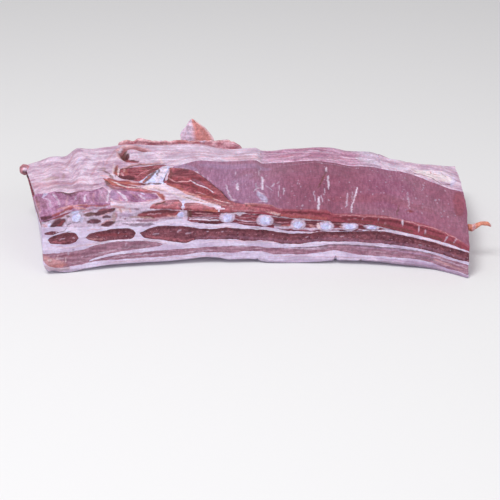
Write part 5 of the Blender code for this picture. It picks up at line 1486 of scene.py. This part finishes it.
def corner_nub(context):
    ring = np.linspace(-1, 1, 15)
    piece = Piece("corner_nub", ring, ring, ring)
    squares = [c ** 2 for c in (piece.u, piece.v, piece.w)]
    ball = [c * np.sqrt(1 - a / 2 - b / 2 + a * b / 3)
            for c, a, b in ((piece.u, squares[1], squares[2]), (piece.v, squares[2], squares[0]),
                            (piece.w, squares[0], squares[1]))]
    lump = 0.93 + 0.07 * noise(ball[0] * 3 + ball[2], ball[1] * 3, 1.0, 171)
    piece.set_place(*(middle + radius * lump * c for middle, radius, c in zip(NUB_PLACE, NUB_RADII, ball)))
    piece.brush(0.45, PINK)
    piece.brush(0.8 * (1 - ease((np.hypot(ball[0] - 0.2, ball[2] - 0.4) - 0.25) / 0.3)), FAT_WHITE)
    piece.brush(0.6 * ease(rough(piece.x, piece.z, 173, (3, 1.0)) * 2), BLOOD)
    piece.finish(tissue(context, "red_muscle"), "red_trim", (piece.x, piece.y, piece.z))


# ---------------------------------------------------------------- the studio
CAMERA_PLACE = (0.0004, -1.2216, 0.6261)
CAMERA_TILT = math.radians(62)
LENS = 85.0
# name: (place, aim, size, power in watts)
LAMPS = {"key": ((-0.55, -0.8, 1.9), (0, 0.02, 0.04), 0.8, 27.0),
         "fill": ((1.3, -1.3, 1.3), (0, 0, 0.04), 1.2, 7.0)}


def floor():
    bpy.ops.object.select_all(action="DESELECT")
    bpy.ops.mesh.primitive_plane_add(size=6, location=(0, 0, 0))
    made = bpy.context.active_object
    made.name = made.data.name = "floor"
    finish = Finish("studio floor", Roughness=0.6, Specular_IOR_Level=0.3)
    finish.shader.inputs["Base Color"].default_value = (0.80, 0.80, 0.81, 1)
    made.data.materials.append(finish.material)


def lamps(strength):
    for name, (place, aim, size, power) in LAMPS.items():
        bpy.ops.object.light_add(type="AREA", location=place)
        lamp = bpy.context.active_object
        lamp.name = lamp.data.name = name
        lamp.data.size = size
        lamp.data.energy = power * strength
        towards = [a - p for a, p in zip(aim, place)]
        lamp.rotation_euler = (math.atan2(math.hypot(towards[0], towards[1]), -towards[2]), 0,
                               math.atan2(towards[1], towards[0]) - math.pi / 2)


def camera():
    bpy.ops.object.camera_add(location=CAMERA_PLACE, rotation=(CAMERA_TILT, 0, 0))
    made = bpy.context.active_object
    made.name = made.data.name = "camera"
    made.data.lens = LENS
    made.data.sensor_width = 36
    made.data.dof.use_dof = False
    bpy.context.scene.camera = made


# ---------------------------------------------------------------- settings
def length(name, description, default):
    return FloatProperty(name=name, description=description, default=default, min=0, max=0.003,
                         precision=5, unit="LENGTH")


def colour(name, description, default):
    return FloatVectorProperty(name=name, description=description, default=default, size=3, min=0, max=1,
                               subtype="COLOR")


class BellySizes(bpy.types.PropertyGroup):
    """Sizes of the slab's surface detail"""
    strand_relief: length("Strand relief", "Height of the meat's fine strands", 0.00026)
    lean_sink: length("Lean sink", "How far the lean lies behind the fat on the cut face", 0.00035)
    muscle_rise: length("Muscle rise", "How far the top muscles stand out of the fat", 0.0003)


class BellyColours(bpy.types.PropertyGroup):
    """Light colour of each tissue; its deep colour follows it"""
    fat: colour("Fat", "Fat seams on the cut face", (0.74, 0.65, 0.85))
    cover_fat: colour("Cover fat", "Fat over the top muscles", (0.78, 0.61, 0.76))
    pale_lean: colour("Pale lean", "The two lower lean layers", (0.43, 0.235, 0.32))
    dark_lean: colour("Dark lean", "The streaks of dark lean", (0.26, 0.08, 0.11))
    rib_meat: colour("Rib meat", "Meat between the ribs", (0.31, 0.07, 0.105))
    sheet: colour("Sheet muscle", "The broad sheet on the upper side", (0.37, 0.14, 0.235))
    fore_muscle: colour("Fore muscle", "Muscle at the brisket end", (0.52, 0.27, 0.45))
    back_strip: colour("Back strip", "Streaky muscle along the back", (0.66, 0.40, 0.56))
    red_muscle: colour("Red muscle", "The small muscles and the wedge", (0.43, 0.12, 0.155))
    trim: colour("Trim", "Ragged lean behind the back edge", (0.90, 0.58, 0.65))
    strand: colour("Strand", "The loose strand at the flank end", (0.70, 0.28, 0.20))
    bone: colour("Bone", "Rib ends and cartilage", (0.70, 0.71, 0.98))


class BellyStage(bpy.types.PropertyGroup):
    """The studio's light"""
    lamp_strength: FloatProperty(name="Lamp strength", description="Brightness of both lamps",
                                 default=1.0, min=0, max=10)
    world_strength: FloatProperty(name="World strength", description="Brightness of the light from all round",
                                  default=0.5, min=0, max=5)


# ---------------------------------------------------------------- operators
class BELLY_OT_fat_layers(bpy.types.Operator):
    """Model the skin fat and the seams of fat between the lean layers"""
    bl_idname = "belly.fat_layers"
    bl_label = "Fat Layers"

    def execute(self, context):
        fat_layers(context)
        return {"FINISHED"}


class BELLY_OT_lean_layers(bpy.types.Operator):
    """Model the pale and dark lean layers between the fat"""
    bl_idname = "belly.lean_layers"
    bl_label = "Lean Layers"

    def execute(self, context):
        lean_layers(context)
        dark_streak(context)
        return {"FINISHED"}


class BELLY_OT_rib_band(bpy.types.Operator):
    """Model the meat and fat that the ribs run through"""
    bl_idname = "belly.rib_band"
    bl_label = "Rib Band"

    def execute(self, context):
        rib_band(context)
        return {"FINISHED"}


class BELLY_OT_ribs(bpy.types.Operator):
    """Model the ribs and the piece of cartilage with their sawn ends"""
    bl_idname = "belly.ribs"
    bl_label = "Ribs"

    def execute(self, context):
        ribs(context)
        return {"FINISHED"}


class BELLY_OT_cover_fat(bpy.types.Operator):
    """Model the fat over the upper side, with beds for the muscles"""
    bl_idname = "belly.cover_fat"
    bl_label = "Cover Fat"

    def execute(self, context):
        cover_fat(context)
        return {"FINISHED"}


class BELLY_OT_fore_muscle(bpy.types.Operator):
    """Model the streaky muscle at the brisket end"""
    bl_idname = "belly.fore_muscle"
    bl_label = "Fore Muscle"

    def execute(self, context):
        fore_muscle(context)
        return {"FINISHED"}


class BELLY_OT_neck_muscles(bpy.types.Operator):
    """Model the small muscles, the membrane and the rib tip bedded in the cover fat"""
    bl_idname = "belly.neck_muscles"
    bl_label = "Neck Muscles"

    def execute(self, context):
        neck_muscles(context)
        diaphragm(context)
        return {"FINISHED"}


class BELLY_OT_inner_muscle(bpy.types.Operator):
    """Model the broad sheet of muscle and its cut edge"""
    bl_idname = "belly.inner_muscle"
    bl_label = "Inner Muscle"

    def execute(self, context):
        inner_muscle(context)
        return {"FINISHED"}


class BELLY_OT_back_pieces(bpy.types.Operator):
    """Model the strip of muscle and the fat along the back edge"""
    bl_idname = "belly.back_pieces"
    bl_label = "Back Strip and Flank Fat"

    def execute(self, context):
        back_pieces(context)
        return {"FINISHED"}


class BELLY_OT_trimmings(bpy.types.Operator):
    """Model the ragged trim, the flap, the strand and the corner nub"""
    bl_idname = "belly.trimmings"
    bl_label = "Trimmings"

    def execute(self, context):
        for make in (back_trim, back_flap, end_strand, corner_nub):
            make(context)
        return {"FINISHED"}


class BELLY_OT_stage(bpy.types.Operator):
    """Set up the floor, the lamps, the world and the camera"""
    bl_idname = "belly.stage"
    bl_label = "Stage"

    def execute(self, context):
        settings = context.scene.belly_stage
        floor()
        lamps(settings.lamp_strength)
        camera()
        world = bpy.data.worlds.new("studio")
        world.use_nodes = True
        background = world.node_tree.nodes["Background"]
        background.inputs["Color"].default_value = (1.0, 0.98, 0.99, 1)
        background.inputs["Strength"].default_value = settings.world_strength
        context.scene.world = world
        context.scene.view_settings.view_transform = "Standard"
        return {"FINISHED"}


OPERATORS = (BELLY_OT_fat_layers, BELLY_OT_lean_layers, BELLY_OT_rib_band, BELLY_OT_ribs, BELLY_OT_cover_fat,
             BELLY_OT_fore_muscle, BELLY_OT_neck_muscles, BELLY_OT_inner_muscle, BELLY_OT_back_pieces,
             BELLY_OT_trimmings, BELLY_OT_stage)
GROUPS = {"belly_sizes": BellySizes, "belly_colours": BellyColours, "belly_stage": BellyStage}


class BELLY_PT_panel(bpy.types.Panel):
    """The steps and settings of the slab"""
    bl_idname = "BELLY_PT_panel"
    bl_label = "Pork Belly Slab"
    bl_space_type = "VIEW_3D"
    bl_region_type = "UI"
    bl_category = "Belly"

    def draw(self, context):
        for group in GROUPS:
            box = self.layout.box()
            for setting in GROUPS[group].__annotations__:
                box.prop(getattr(context.scene, group), setting)
        for operator in OPERATORS:
            self.layout.operator(operator.bl_idname)


CLASSES = (*GROUPS.values(), *OPERATORS, BELLY_PT_panel)


def register():
    for cls in CLASSES:
        bpy.utils.register_class(cls)
    for name, group in GROUPS.items():
        setattr(bpy.types.Scene, name, PointerProperty(type=group))


def unregister():
    for name in GROUPS:
        delattr(bpy.types.Scene, name)
    for cls in reversed(CLASSES):
        bpy.utils.unregister_class(cls)


def main():
    register()
    for operator in OPERATORS:
        step = operator.bl_idname.split(".")[1]
        getattr(bpy.ops.belly, step)()


if __name__ == "__main__":
    main()
